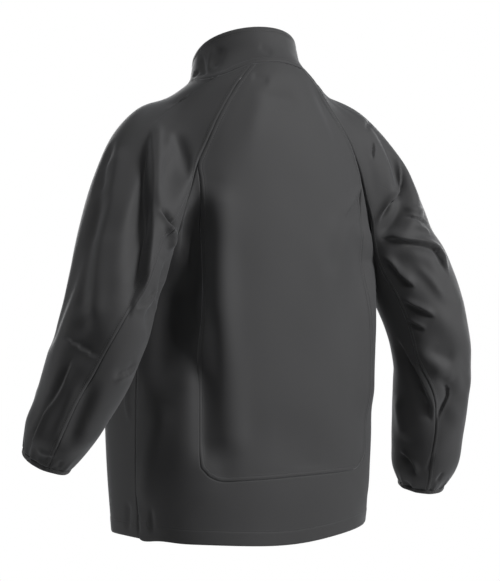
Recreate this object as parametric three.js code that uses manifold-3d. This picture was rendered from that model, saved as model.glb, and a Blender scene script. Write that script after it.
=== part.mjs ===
// A softshell jacket, hip length, with raglan sleeves, a stand-up collar and a full front zip. It hangs
// filled out, as on a wearer, and is empty inside. Sizes are in millimetres and angles in degrees.
// The origin is the nape, +Z is up, the front faces -Y and the wearer's left side is +X.
import * as THREE from 'three';
import { mergeVertices } from 'three/addons/utils/BufferGeometryUtils.js';
import Module from 'manifold-3d';

// Cloth
const WALL = 2; // softshell, one layer
const COLLAR_WALL = 3; // two layers
const CUFF_WALL = 2.6; // folded elastic binding
const CUFF_LENGTH = 8;
const CUFF_PULL = { left: 6.5, right: 10.5 }; // how far the binding draws each sleeve's end in
const SEAM_GAP = 0.3; // between two pieces that are sewn together
const SLEEVE_CLEARANCE = 4; // between the body and the sleeve that hangs beside it

// Levels, measured at the nape side of the leaning neck
const COLLAR_TOP = 47;
const HEM = -722;
const HEM_RISE = 16; // the hem is higher at the sides
const BAND_SEAM = -620; // lower edge of the centre back panel
const BAND_CORNER = 30; // radius of that panel's lower corners
const SHOULDER_TILT = 0.04; // the left shoulder is higher than the right one

// Sections of the body: half width, depth behind and before the centre, squareness and centre
const BODY = [
  { level: -800, half: 202, back: 126, front: 126, square: 2.7, centre: 0 },
  { level: -740, half: 203, back: 128, front: 128, square: 2.7, centre: 0 },
  { level: -700, half: 208, back: 130, front: 131, square: 2.7, centre: 0 },
  { level: -640, half: 214, back: 134, front: 130, square: 2.7, centre: 0 },
  { level: -520, half: 218, back: 137, front: 128, square: 2.7, centre: 0 },
  { level: -400, half: 219, back: 138, front: 126, square: 2.7, centre: 0 },
  { level: -300, half: 213, back: 136, front: 126, square: 2.6, centre: 0 },
  { level: -240, half: 207, back: 134, front: 122, square: 2.6, centre: 0 },
  { level: -180, half: 199, back: 130, front: 113, square: 2.5, centre: 0 },
  { level: -120, half: 183, back: 121, front: 100, square: 2.4, centre: 1 },
  { level: -80, half: 163, back: 112, front: 87, square: 2.3, centre: 2 },
  { level: -45, half: 135, back: 104, front: 80, square: 2.2, centre: 4 },
  { level: -15, half: 104, back: 90, front: 79, square: 2.1, centre: 7 },
  { level: 8, half: 91, back: 75, front: 78, square: 2, centre: 11 },
  { level: 35, half: 85, back: 64, front: 78, square: 2, centre: 13 },
  { level: 60, half: 81, back: 57, front: 77, square: 2, centre: 13 },
  { level: 110, half: 78, back: 50, front: 75, square: 2, centre: 13 },
];

// Middle of each sleeve and its radius, from inside the shoulder to past the cuff
const SLEEVE_LEFT = [
  { x: 93, y: -2, z: -108, radius: 55 },
  { x: 145, y: 3, z: -124, radius: 63 },
  { x: 190, y: 21, z: -168, radius: 69 },
  { x: 239, y: 50, z: -250, radius: 70 },
  { x: 282, y: 77, z: -340, radius: 68 },
  { x: 313, y: 77, z: -425, radius: 64 },
  { x: 334, y: 48, z: -505, radius: 55 },
  { x: 346, y: 20, z: -556, radius: 47 },
  { x: 354, y: 0, z: -596, radius: 43 },
];
const SLEEVE_RIGHT = [
  { x: -93, y: 24, z: -105, radius: 56 },
  { x: -150, y: 27, z: -116, radius: 69 },
  { x: -204, y: 37, z: -170, radius: 74 },
  { x: -244, y: 61, z: -262, radius: 73 },
  { x: -277, y: 98, z: -352, radius: 68 },
  { x: -302, y: 105, z: -446, radius: 63 },
  { x: -318, y: 85, z: -528, radius: 61 },
  { x: -326, y: 68, z: -588, radius: 57 },
  { x: -331, y: 54, z: -640, radius: 51 },
  { x: -333, y: 45, z: -676, radius: 46 },
];

// Where each sleeve ends, along its middle, how far round it the under half reaches, and where its back
// seam runs round it at each place
const SLEEVES = {
  left: { side: 1, rows: SLEEVE_LEFT, end: 588, under: 135 },
  right: { side: -1, rows: SLEEVE_RIGHT, end: 666, under: 104 },
};
const BACK_SEAM = [
  { along: 230, left: 108, right: 146 },
  { along: 290, left: 99, right: 158 },
  { along: 335, left: 91, right: 158 },
  { along: 370, left: 80, right: 157 },
  { along: 425, left: 68, right: 155 },
  { along: 490, left: 61, right: 133 },
  { along: 540, left: 63, right: 125 },
  { along: 600, left: 68, right: 127 },
  { along: 680, left: 68, right: 122 },
];

// Seams on the body, by angle from the centre back and by level
const NECK_SEAM = [
  { angle: 0, level: -20 },
  { angle: 28, level: -23 },
  { angle: 40, level: -27 },
  { angle: 50, level: -34 },
  { angle: 60, level: -34 },
  { angle: 75, level: -18 },
  { angle: 90, level: -5 },
  { angle: 105, level: 0 },
  { angle: 120, level: -4 },
  { angle: 150, level: -20 },
  { angle: 180, level: -28 },
];
const RAGLAN_UPPER = [
  { angle: 30, level: -23.4 },
  { angle: 41, level: -60 },
  { angle: 48.5, level: -98 },
  { angle: 53.5, level: -135 },
  { angle: 57.3, level: -170 },
];
const RAGLAN_LOWER = [
  { angle: 57.3, level: -170 },
  { angle: 59.2, level: -203 },
  { angle: 62, level: -232 },
  { angle: 68, level: -255 },
  { angle: 79, level: -265 },
];
const RAGLAN_FRONT = [
  { angle: 79, level: -265 },
  { angle: 90, level: -260 },
  { angle: 97, level: -236 },
  { angle: 101, level: -200 },
  { angle: 107, level: -158 },
  { angle: 115, level: -114 },
  { angle: 127, level: -66 },
  { angle: 139, level: -16 },
];
const PANEL_SEAM = [
  { angle: 57.3, level: -170 },
  { angle: 55.4, level: -215 },
  { angle: 54.5, level: -300 },
  { angle: 54.5, level: -480 },
  { angle: 54.8, level: BAND_SEAM + BAND_CORNER },
];
const SIDE_SEAM = [
  { angle: 79, level: -265 },
  { angle: 80.5, level: -360 },
  { angle: 82, level: -560 },
  { angle: 83, level: -706 },
];

// Front zip
const ZIP_SLOT = 3.4; // from the centre front to each front edge
const ZIP_FACING = 15.5; // from the centre front to the tape's outer edge
const CHAIN_HALF = 2.6;
const CHAIN_THICK = 1.7;
const TAPE_THICK = 0.8;
const TAPE_SPLIT = 0.4; // from the centre front to each tape's inner edge
const STOP_BOX = { width: 7.5, height: 9, thick: 1.8 };
const SLIDER = { level: 33, width: 8.6, height: 11, plate: 1.6, lift: 0.5 };
const BRIDGE = { width: 2.6, window: 3.1, reach: 5, leg: 1.5, roof: 1.2 };
const TAB = { width: 7.6, length: 27, thick: 1.6, eye: 3.7, eyeLength: 4.6, bar: 1.6 };

// How finely the pieces are divided
const UPPER_STEPS = 6;
const LOWER_STEPS = 5;
const FRONT_STEPS = 9;
const NECK_STEPS = 8;
const SIDE_STEPS = 12;
const BAND_STEPS = 18;
const PANEL_COLUMNS = 18;
const FRONT_COLUMNS = 10;
const COLLAR_BACK_STEPS = 6;
const COLLAR_FRONT_STEPS = 4;
const COLLAR_ROWS = 4;
const HEAD_ROWS = 8;
const ARM_ROWS = 15;

// Folds: soft ridges (height above zero) and troughs (below) along a bowed line between two places. On the
// body a place is an angle and a level, on a sleeve it is a length along it and an angle round it.
const BODY_FOLDS = [
  { from: [51, -400], to: [46, -610], bow: 0, width: 15, height: -6 },
  { from: [45, -190], to: [46, -400], bow: 0, width: 18, height: 3 },
  { from: [-30, -40], to: [-44, -120], bow: 4, width: 16, height: -3 },
  { from: [12, -45], to: [34, -150], bow: -5, width: 20, height: 3 },
  { from: [-60, -230], to: [-30, -420], bow: 14, width: 26, height: -5 },
  { from: [-52, -200], to: [-20, -300], bow: 8, width: 22, height: 4 },
  { from: [70, -290], to: [66, -480], bow: 4, width: 30, height: -15 },
  { from: [98, -300], to: [104, -520], bow: 0, width: 26, height: 5 },
  { from: [-86, -300], to: [-70, -520], bow: -8, width: 26, height: -5 },
  { from: [112, -210], to: [140, -330], bow: -10, width: 24, height: -5 },
  { from: [-112, -210], to: [-142, -340], bow: 10, width: 24, height: -5 },
  { from: [130, -400], to: [118, -640], bow: 6, width: 30, height: 4 },
  { from: [-126, -380], to: [-116, -640], bow: -6, width: 30, height: 5 },
  { from: [20, -560], to: [-20, -590], bow: 0, width: 26, height: -3 },
];
const SLEEVE_FOLDS = {
  left: [
    { from: [75, 92], to: [300, 66], bow: 6, width: 15, height: -7 },
    { from: [95, 70], to: [215, 86], bow: 0, width: 13, height: 4 },
    { from: [150, 22], to: [330, 28], bow: 0, width: 18, height: -4 },
    { from: [190, 108], to: [250, 150], bow: 5, width: 14, height: -6 },
    { from: [330, 100], to: [400, 150], bow: -8, width: 18, height: -6 },
    { from: [375, 20], to: [425, 66], bow: 6, width: 13, height: -5 },
    { from: [400, 10], to: [545, 34], bow: 4, width: 20, height: 4 },
    { from: [300, -60], to: [380, -120], bow: 8, width: 20, height: -6 },
    { from: [360, -50], to: [430, -110], bow: 8, width: 18, height: -5 },
    { from: [160, -60], to: [280, -100], bow: 6, width: 22, height: -6 },
    { from: [545, -20], to: [520, 120], bow: 10, width: 13, height: 4 },
  ],
  right: [
    { from: [120, 52], to: [225, 140], bow: 14, width: 13, height: -10 },
    { from: [150, 40], to: [245, 110], bow: 10, width: 14, height: 6 },
    { from: [245, 150], to: [345, 52], bow: -26, width: 14, height: -8 },
    { from: [275, 150], to: [330, 80], bow: -20, width: 14, height: 5 },
    { from: [330, 120], to: [390, 64], bow: -8, width: 15, height: -5 },
    { from: [400, 130], to: [455, 60], bow: -8, width: 15, height: -6 },
    { from: [455, 110], to: [540, 132], bow: 10, width: 18, height: -8 },
    { from: [470, 74], to: [545, 122], bow: 6, width: 14, height: -5 },
    { from: [300, -60], to: [390, -120], bow: 8, width: 20, height: -6 },
    { from: [370, -40], to: [450, -110], bow: 8, width: 18, height: -5 },
    { from: [160, -60], to: [280, -100], bow: 6, width: 22, height: -6 },
    { from: [600, 30], to: [590, 150], bow: 8, width: 13, height: 4 },
  ],
};
const BODY_DEGREE = 2.7; // length of one degree round the body
const SLEEVE_DEGREE = 1.15; // and round a sleeve

const BLEND = 30; // width over which sleeve and body run into each other
const ARMHOLE_FOOT = 8; // the body rises this far at most towards a sleeve
const NECK_BACK = 65; // depth at which levels are measured
const CLOTH = { color: 0x2b2c2f, roughness: 0.72, metalness: 0 };
const BINDING = { color: 0x232427, roughness: 0.85, metalness: 0 };
const TAPE = { color: 0x1d1e20, roughness: 0.9, metalness: 0 };
const TEETH = { color: 0x1b1c1e, roughness: 0.45, metalness: 0 };
const METAL = { color: 0x2a2b2d, roughness: 0.38, metalness: 0.7 };

const radians = THREE.MathUtils.degToRad;
const degrees = THREE.MathUtils.radToDeg;
const clamp = THREE.MathUtils.clamp;
const lerp = THREE.MathUtils.lerp;
const vec = (x, y, z) => new THREE.Vector3(x, y, z);
const mix = (a, b, t) => a.clone().lerp(b, t);
const range = (steps) => Array.from({ length: steps + 1 }, (_, i) => i / steps);

function smooth(x, low, high) {
  return THREE.MathUtils.smoothstep(x, low, high);
}

// A value that runs through a table's rows without overshooting them
function column(rows, input, output) {
  const x = rows.map((row) => row[input]);
  const y = rows.map((row) => row[output]);
  const chord = x.slice(1).map((end, i) => (y[i + 1] - y[i]) / (end - x[i]));
  const slope = y.map((_, i) => {
    if (i === 0 || i === y.length - 1) return chord[Math.min(i, chord.length - 1)];
    const product = chord[i - 1] * chord[i];
    return product > 0 ? (2 * product) / (chord[i - 1] + chord[i]) : 0;
  });
  return (at) => {
    const place = clamp(at, x[0], x[x.length - 1]);
    let i = 0;
    while (i < x.length - 2 && place > x[i + 1]) i += 1;
    const width = x[i + 1] - x[i];
    const t = (place - x[i]) / width;
    const rise = t * t * (3 - 2 * t);
    const bend = t * (1 - t) * width;
    return lerp(y[i], y[i + 1], rise) + bend * ((1 - t) * slope[i] - t * slope[i + 1]);
  };
}

// A smooth curve through a table's rows, as a function of 0 to 1
function route(rows, keys) {
  const at = (i, key) => rows[clamp(i, 0, rows.length - 1)][key];
  return (fraction) => {
    const place = clamp(fraction, 0, 1) * (rows.length - 1);
    const i = Math.min(Math.floor(place), rows.length - 2);
    const t = place - i;
    return keys.map((key) => {
      const b = at(i, key);
      const c = at(i + 1, key);
      const a = i > 0 ? at(i - 1, key) : 2 * b - c;
      const d = i < rows.length - 2 ? at(i + 2, key) : 2 * c - b;
      const cubic = 3 * b - a - 3 * c + d;
      return 0.5 * (2 * b + (c - a) * t + (2 * a - 5 * b + 4 * c - d) * t * t + cubic * t ** 3);
    });
  };
}

const bodyHalf = column(BODY, 'level', 'half');
const bodyBack = column(BODY, 'level', 'back');
const bodyFront = column(BODY, 'level', 'front');
const bodySquare = column(BODY, 'level', 'square');
const bodyCentre = column(BODY, 'level', 'centre');
const neckAt = column(NECK_SEAM, 'angle', 'level');

// The neck leans forward: level planes tip more and more above the chest
function lean(level) {
  return 0.5 * smooth(level, -260, -40);
}

function tilt(z) {
  return SHOULDER_TILT * smooth(z, -400, -150);
}

function levelOf(point) {
  const z = point.z - tilt(point.z) * point.x;
  const y = point.y - NECK_BACK;
  let level = z - lean(z) * y;
  for (let turn = 0; turn < 5; turn += 1) {
    const t = clamp((level + 260) / 220, 0, 1);
    const slope = (3 * t * (1 - t)) / 220;
    level -= (level + lean(level) * y - z) / Math.max(1 + slope * y, 0.25);
  }
  return level;
}

function bodyDistance(point) {
  const level = clamp(levelOf(point), -800, 110);
  const y = point.y - bodyCentre(level);
  const depth = y > 0 ? bodyBack(level) : bodyFront(level);
  const n = bodySquare(level);
  const rho = (Math.abs(point.x / bodyHalf(level)) ** n + Math.abs(y / depth) ** n) ** (1 / n);
  return rho > 1e-6 ? Math.hypot(point.x, y) * (1 - 1 / rho) : -60;
}

// The middle line of a sleeve as short straight pieces
function spine(rows) {
  const steps = 5 * (rows.length - 1);
  const path = route(rows, ['x', 'y', 'z', 'radius']);
  const points = range(steps).map((t) => {
    const [x, y, z, radius] = path(t);
    return { place: vec(x, y, z), radius, along: 0 };
  });
  for (let i = 1; i < points.length; i += 1) {
    points[i].along = points[i - 1].along + points[i].place.distanceTo(points[i - 1].place);
  }
  return points;
}

const spines = { left: spine(SLEEVE_LEFT), right: spine(SLEEVE_RIGHT) };

function sleeveDistance(point, points) {
  let best = Infinity;
  for (let i = 0; i < points.length - 1; i += 1) {
    const a = points[i];
    const b = points[i + 1];
    const dx = b.place.x - a.place.x;
    const dy = b.place.y - a.place.y;
    const dz = b.place.z - a.place.z;
    const px = point.x - a.place.x;
    const py = point.y - a.place.y;
    const pz = point.z - a.place.z;
    const t = clamp((px * dx + py * dy + pz * dz) / (dx * dx + dy * dy + dz * dz), 0, 1);
    const gap = Math.hypot(px - t * dx, py - t * dy, pz - t * dz) - lerp(a.radius, b.radius, t);
    best = Math.min(best, gap);
  }
  return best;
}

function joinSoft(a, b, width) {
  const overlap = Math.max(width - Math.abs(a - b), 0) / width;
  return Math.min(a, b) - (overlap * overlap * width) / 4;
}

function wholeDistance(point) {
  const sleeve = sleeveDistance(point, point.x > 0 ? spines.left : spines.right);
  return joinSoft(bodyDistance(point), sleeve, BLEND);
}

// The body alone keeps only the soft foot of each sleeve, and below the armpit not even that
function bodySurface(point) {
  const sleeve = sleeveDistance(point, point.x > 0 ? spines.left : spines.right);
  const foot = lerp(BLEND + 10, ARMHOLE_FOOT, smooth(point.z, -330, -240));
  return joinSoft(bodyDistance(point), Math.max(sleeve, foot), BLEND);
}

// and a sleeve is pressed flat where it hangs against the body
function sleeveSurface(points) {
  return (point) => {
    const clear = SLEEVE_CLEARANCE - bodySurface(point);
    return -joinSoft(-sleeveDistance(point, points), -clear, 14);
  };
}

// The first place along a ray where the cloth lies
function reach(distance, origin, direction) {
  const probe = vec(0, 0, 0);
  const at = (length) => distance(probe.copy(direction).multiplyScalar(length).add(origin));
  let near = 0;
  let far = 0;
  let value = at(0);
  while (value < 0 && far < 500) {
    near = far;
    far += Math.max(-value * 0.6, 1.5);
    value = at(far);
  }
  for (let turn = 0; turn < 16; turn += 1) {
    const middle = (near + far) / 2;
    if (at(middle) < 0) near = middle;
    else far = middle;
  }
  return origin.clone().addScaledVector(direction, far);
}

function outward(distance, point) {
  const step = 1;
  const along = (axis) => {
    const ahead = point.clone();
    const behind = point.clone();
    ahead[axis] += step;
    behind[axis] -= step;
    return distance(ahead) - distance(behind);
  };
  return vec(along('x'), along('y'), along('z')).normalize();
}

// How far the cloth stands out of its plain form at a place, for all folds of a table
function foldHeight(folds, u, v, scaleU, scaleV) {
  return folds.reduce((total, fold) => {
    const au = fold.from[0] * scaleU;
    const av = fold.from[1] * scaleV;
    const du = fold.to[0] * scaleU - au;
    const dv = fold.to[1] * scaleV - av;
    const length = Math.hypot(du, dv);
    const along = ((u * scaleU - au) * du + (v * scaleV - av) * dv) / (length * length);
    const t = clamp(along, 0, 1);
    const across = ((u * scaleU - au) * dv - (v * scaleV - av) * du) / length;
    const beyond = Math.abs(along - t) * length;
    const off = Math.hypot(across - 4 * fold.bow * t * (1 - t), beyond);
    const fade = smooth(t, -0.25, 0.3) * (1 - smooth(t, 0.7, 1.25));
    return total + fold.height * fade * Math.exp(-((off / fold.width) ** 2));
  }, 0);
}

// A place on the body: its angle from the centre back and its level
function bodyPoint(angle, level, distance = bodySurface) {
  const turn = radians(angle);
  const y = bodyCentre(level);
  const slope = lean(level) * Math.cos(turn) + tilt(level) * Math.sin(turn);
  const origin = vec(0, y, level + lean(level) * (y - NECK_BACK));
  const direction = vec(Math.sin(turn), Math.cos(turn), slope).normalize();
  const point = reach(distance, origin, direction);
  return { point, normal: outward(distance, point), inset: vec(0, 0, 0) };
}

function foldedBodyPoint(angle, level, edgeFade) {
  const spot = bodyPoint(angle, level);
  const height = foldHeight(BODY_FOLDS, angle, level, BODY_DEGREE, 1) * edgeFade;
  spot.point.addScaledVector(spot.normal, height);
  return spot;
}

// How freely the body cloth folds at a place: not at all at the neck, the armholes and the zip
function bodyFreedom(angle, level) {
  const a = Math.abs(angle);
  const belowArm = 1 - smooth(level, -300, -270);
  const offArm = Math.max(belowArm, 1 - smooth(a, 40, 56), smooth(a, 122, 134));
  const offZip = 1 - smooth(a, 166, 176);
  const offNeck = 1 - smooth(level, -70, -40);
  const offHem = 0.35 + 0.65 * smooth(level, -712, -670);
  return offArm * offZip * offNeck * offHem;
}

function hemAt(angle) {
  return HEM + HEM_RISE * Math.sin(radians(angle)) ** 2;
}

// The angle at which the front lies a given distance from the centre front
function zipAngle(distance, level) {
  return 180 - degrees(Math.asin(distance / bodyFront(level)));
}

// Seams of one half of the body, as lists of places
function places(rows, steps) {
  const path = route(rows, ['angle', 'level']);
  return range(steps).map((t) => {
    const [angle, level] = path(t);
    return { angle, level };
  });
}

const raglanBack = places(RAGLAN_UPPER, UPPER_STEPS);
raglanBack[0].level = neckAt(RAGLAN_UPPER[0].angle);
const raglanLower = places(RAGLAN_LOWER, LOWER_STEPS);
const raglanFront = places(RAGLAN_FRONT, FRONT_STEPS);
raglanFront[FRONT_STEPS].level = neckAt(RAGLAN_FRONT[RAGLAN_FRONT.length - 1].angle);
const sideSeam = places(SIDE_SEAM, SIDE_STEPS);
sideSeam[SIDE_STEPS].level = hemAt(SIDE_SEAM[SIDE_SEAM.length - 1].angle);

// The centre back panel's side seam ends half way round its lower corner
const cornerAngle = BAND_CORNER / BODY_DEGREE;
const panelSide = (() => {
  const straight = places(PANEL_SEAM, SIDE_STEPS - 2);
  const foot = straight[SIDE_STEPS - 2];
  const bend = [22.5, 45].map((turn) => ({
    angle: foot.angle - cornerAngle * (1 - Math.cos(radians(turn))),
    level: foot.level - BAND_CORNER * Math.sin(radians(turn)),
  }));
  return [...straight, ...bend];
})();
const panelBottom = (() => {
  const foot = PANEL_SEAM[PANEL_SEAM.length - 1];
  const bend = [45, 67.5, 90].map((turn) => ({
    angle: foot.angle - cornerAngle * (1 - Math.cos(radians(turn))),
    level: foot.level - BAND_CORNER * Math.sin(radians(turn)),
  }));
  const flat = bend[2].angle;
  const middle = range(BAND_STEPS - 4).map((t) => ({ angle: lerp(flat, -flat, t), level: BAND_SEAM }));
  const mirrored = bend.slice(0, 2).reverse().map(({ angle, level }) => ({ angle: -angle, level }));
  return [...bend.slice(0, 2), ...middle, ...mirrored];
})();

const mirror = (list) => list.map(({ angle, level }) => ({ angle: -angle, level }));

// Sleeve: a section across it at each length along its middle
function sleeveSection(sleeve, along) {
  const points = spines[sleeve];
  const { side } = SLEEVES[sleeve];
  let i = 0;
  while (i < points.length - 2 && along > points[i + 1].along) i += 1;
  const a = points[i];
  const b = points[i + 1];
  const t = (along - a.along) / (b.along - a.along);
  const centre = a.place.clone().lerp(b.place, t);
  const before = points[Math.max(i - 2, 0)].place;
  const after = points[Math.min(i + 3, points.length - 1)].place;
  const tangent = after.clone().sub(before).normalize();
  const fan = Math.atan2(side * centre.x - 110, centre.z + 330);
  const fanNormal = vec(side * Math.cos(fan), 0, -Math.sin(fan));
  const free = smooth(along, 140, 300);
  const normal = fanNormal.lerp(tangent, free).normalize();
  const out = vec(side * Math.sin(fan), 0, Math.cos(fan)).lerp(vec(side, 0, 0.3), free);
  out.addScaledVector(normal, -out.dot(normal)).normalize();
  const back = normal.clone().cross(out);
  if (back.y < 0) back.negate();
  return { centre, normal, out, back };
}

function sleeveRay(section, around) {
  const turn = radians(around);
  return section.out.clone().multiplyScalar(Math.cos(turn)).addScaledVector(section.back, Math.sin(turn));
}

// The length along the sleeve and the angle round it of a place on the armhole
function sleevePlace(sleeve, point) {
  let low = -70;
  let high = 330;
  for (let turn = 0; turn < 40; turn += 1) {
    const middle = (low + high) / 2;
    const section = sleeveSection(sleeve, middle);
    if (point.clone().sub(section.centre).dot(section.normal) > 0) low = middle;
    else high = middle;
  }
  const section = sleeveSection(sleeve, low);
  const arm = point.clone().sub(section.centre);
  return { along: low, around: degrees(Math.atan2(arm.dot(section.back), arm.dot(section.out))) };
}

// One closed ring of places round the sleeve's upper edge: down the back raglan seam, through the
// armpit, up the front raglan seam and back along the neck
function armholeRing(side) {
  const neck = range(NECK_STEPS).map((t) => {
    const angle = lerp(RAGLAN_FRONT[RAGLAN_FRONT.length - 1].angle, RAGLAN_UPPER[0].angle, t);
    return { angle, level: neckAt(angle) };
  });
  const half = NECK_STEPS / 2;
  const ring = [
    ...neck.slice(half, NECK_STEPS),
    ...raglanBack.slice(0, UPPER_STEPS),
    ...raglanLower.slice(0, LOWER_STEPS),
    ...raglanFront.slice(0, FRONT_STEPS),
    ...neck.slice(0, half),
  ];
  return ring.map(({ angle, level }) => ({ angle: side * angle, level }));
}

const RING = NECK_STEPS + UPPER_STEPS + LOWER_STEPS + FRONT_STEPS;
const NECK_HALF = NECK_STEPS / 2;
const BACK_COLUMN = NECK_HALF + UPPER_STEPS + 1; // the sleeve's back seam starts here on the ring
const ARMPIT_COLUMN = NECK_HALF + UPPER_STEPS + LOWER_STEPS;
const FRONT_COLUMN = ARMPIT_COLUMN + 3;
const HEAD_END = 262; // length along the sleeve where its full ring starts

// Seam spots are shared by the pieces on both sides of them. The inset points to the sleeve, or up
// to the collar, and each piece moves its edge half a gap to its own side.
function armholeSpots(sleeve) {
  const { side } = SLEEVES[sleeve];
  const ring = armholeRing(side);
  const spots = ring.map(({ angle, level }, i) => (
    bodyPoint(angle, level, Math.abs(i - ARMPIT_COLUMN) < 6.5 ? bodySurface : wholeDistance)
  ));
  spots.forEach((spot, i) => {
    const isNeck = i < NECK_HALF || i > RING - NECK_HALF;
    const before = spots[(i + RING - 1) % RING].point;
    const after = spots[(i + 1) % RING].point;
    const tangent = after.clone().sub(before).normalize();
    const pit = smooth(-ring[i].level, 205, 262);
    spot.normal.lerp(vec(0, 0, -1), pit).normalize();
    spot.inset = spot.normal.clone().cross(tangent).normalize();
    const { along } = sleevePlace(sleeve, spot.point);
    const goal = isNeck ? vec(0, 0, -1) : sleeveSection(sleeve, along).centre.sub(spot.point);
    if (spot.inset.dot(goal) < 0) spot.inset.negate();
  });
  return spots;
}

const armholes = { left: armholeSpots('left'), right: armholeSpots('right') };

function seamAngle(sleeve, along) {
  return column(BACK_SEAM, 'along', sleeve)(along);
}

function columnAngle(sleeve, index, along) {
  const span = SLEEVES[sleeve].under;
  const seam = seamAngle(sleeve, along);
  const under = FRONT_COLUMN - BACK_COLUMN;
  if (index >= BACK_COLUMN && index <= FRONT_COLUMN) {
    return seam + (span * (index - BACK_COLUMN)) / under;
  }
  const past = index > FRONT_COLUMN ? index - FRONT_COLUMN : index + RING - FRONT_COLUMN;
  return seam + span + ((360 - span) * past) / (RING - under) - (index > FRONT_COLUMN ? 0 : 360);
}

function nearestTurn(angle, reference) {
  return angle + 360 * Math.round((reference - angle) / 360);
}

function sleeveFold(sleeve, along, around) {
  const folds = SLEEVE_FOLDS[sleeve];
  const end = SLEEVES[sleeve].end;
  const height = [-360, 0, 360].reduce(
    (total, turn) => total + foldHeight(folds, along, around + turn, 1, SLEEVE_DEGREE),
    0,
  );
  const gather = 1.1 * Math.cos(radians(around * 14)) * smooth(along, end - 26, end - 6);
  const pull = CUFF_PULL[sleeve] * smooth(along, end - 34, end + 4);
  return height * (1 - smooth(along, end - 40, end - 12)) + gather - pull;
}

// All places of one sleeve, row by row from the neck and armhole to the cuff
function sleeveRows(sleeve) {
  const { end } = SLEEVES[sleeve];
  const spots = armholes[sleeve];
  const surface = sleeveSurface(spines[sleeve]);
  const starts = spots.map((spot) => sleevePlace(sleeve, spot.point));
  const ringAt = (along) => starts.map((_, i) => {
    const section = sleeveSection(sleeve, along);
    const around = columnAngle(sleeve, i, along);
    const point = reach(surface, section.centre, sleeveRay(section, around));
    const normal = outward(surface, point);
    const beside = smooth(Math.cos(radians(around - 180)), 0.55, 0.85) * (1 - smooth(along, 380, 440));
    point.addScaledVector(normal, sleeveFold(sleeve, along, around) * (1 - beside));
    return { point, normal, inset: vec(0, 0, 0), around };
  });
  const first = ringAt(HEAD_END);
  const head = range(HEAD_ROWS).slice(0, -1).map((t) => starts.map((start, i) => {
    if (t === 0) return { ...spots[i], point: spots[i].point.clone() };
    const around = lerp(start.around, nearestTurn(first[i].around, start.around), t);
    const along = lerp(start.along, HEAD_END, t);
    const section = sleeveSection(sleeve, along);
    const joined = reach(wholeDistance, section.centre, sleeveRay(section, around));
    const bridged = mix(spots[i].point, first[i].point, t);
    const away = bridged.clone().sub(section.centre).normalize();
    bridged.addScaledVector(away, 12 * t * (1 - t));
    const bridge = 1 - smooth(Math.abs(i - ARMPIT_COLUMN), 4.2, 6.5);
    const point = mix(joined, bridged, bridge);
    const short = SLEEVE_CLEARANCE * smooth(t, 0, 0.35) - bodySurface(point);
    if (short > 0) point.addScaledVector(outward(bodySurface, point), short * bridge);
    const normal = outward(wholeDistance, joined);
    normal.lerp(mix(spots[i].normal, first[i].normal, t), bridge).normalize();
    const free = smooth(t, 0, 0.25) * (1 - bridge);
    point.addScaledVector(normal, sleeveFold(sleeve, along, around) * free);
    return { point, normal, inset: vec(0, 0, 0) };
  }));
  const rest = range(ARM_ROWS).map((t) => ringAt(lerp(HEAD_END, end, t)));
  return [...head, ...rest];
}

// A sheet of cloth with a wall, from rows of places on its outer face. A closed sheet joins its last
// column to its first one.
function wallGeometry(rows, wall, closed = false) {
  const height = rows.length;
  const width = rows[0].length;
  const positions = [];
  rows.forEach((row) => row.forEach((spot) => positions.push(...spot.point.toArray())));
  rows.forEach((row) => row.forEach((spot) => {
    positions.push(...spot.point.clone().addScaledVector(spot.normal, -wall).toArray());
  }));
  const inner = height * width;
  const at = (r, c) => r * width + (c % width);
  const faces = [];
  const quad = (a, b, c, d) => faces.push(a, b, c, a, c, d);
  const columns = closed ? width : width - 1;
  for (let r = 0; r < height - 1; r += 1) {
    for (let c = 0; c < columns; c += 1) {
      quad(at(r, c), at(r + 1, c), at(r + 1, c + 1), at(r, c + 1));
      quad(inner + at(r, c), inner + at(r, c + 1), inner + at(r + 1, c + 1), inner + at(r + 1, c));
    }
  }
  for (let c = 0; c < columns; c += 1) {
    quad(at(0, c), at(0, c + 1), inner + at(0, c + 1), inner + at(0, c));
    const last = height - 1;
    quad(at(last, c + 1), at(last, c), inner + at(last, c), inner + at(last, c + 1));
  }
  for (let r = 0; r < height - 1 && !closed; r += 1) {
    quad(at(r + 1, 0), at(r, 0), inner + at(r, 0), inner + at(r + 1, 0));
    quad(at(r, width - 1), at(r + 1, width - 1), inner + at(r + 1, width - 1), inner + at(r, width - 1));
  }
  const geometry = new THREE.BufferGeometry();
  geometry.setAttribute('position', new THREE.Float32BufferAttribute(positions, 3));
  geometry.setIndex(faces);
  return facingOut(geometry);
}

function volume(geometry) {
  const points = geometry.getAttribute('position');
  const index = geometry.getIndex();
  const corner = (i) => new THREE.Vector3().fromBufferAttribute(points, index.getX(i));
  let total = 0;
  for (let i = 0; i < index.count; i += 3) {
    total += corner(i).dot(corner(i + 1).cross(corner(i + 2))) / 6;
  }
  return total;
}

function facingOut(geometry) {
  if (volume(geometry) < 0) {
    const index = geometry.getIndex();
    for (let i = 0; i < index.count; i += 3) {
      const swap = index.getX(i + 1);
      index.setX(i + 1, index.getX(i + 2));
      index.setX(i + 2, swap);
    }
  }
  geometry.computeVertexNormals();
  return geometry;
}

const copySpot = (spot) => ({ ...spot, point: spot.point.clone() });

// Moves the places of an edge half a gap along their shared inset, or away from the next piece
function openShared(list, direction) {
  list.forEach((spot) => spot.point.addScaledVector(spot.inset, (direction * SEAM_GAP) / 2));
}

function openEdge(edge, inside) {
  const moves = edge.map((spot, i) => {
    const before = edge[Math.max(i - 1, 0)].point;
    const after = edge[Math.min(i + 1, edge.length - 1)].point;
    const move = spot.normal.clone().cross(after.clone().sub(before)).normalize();
    const inner = inside[i].point.clone().sub(spot.point);
    return move.multiplyScalar((Math.sign(move.dot(inner)) * SEAM_GAP) / 2);
  });
  edge.forEach((spot, i) => spot.point.add(moves[i]));
}

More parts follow.
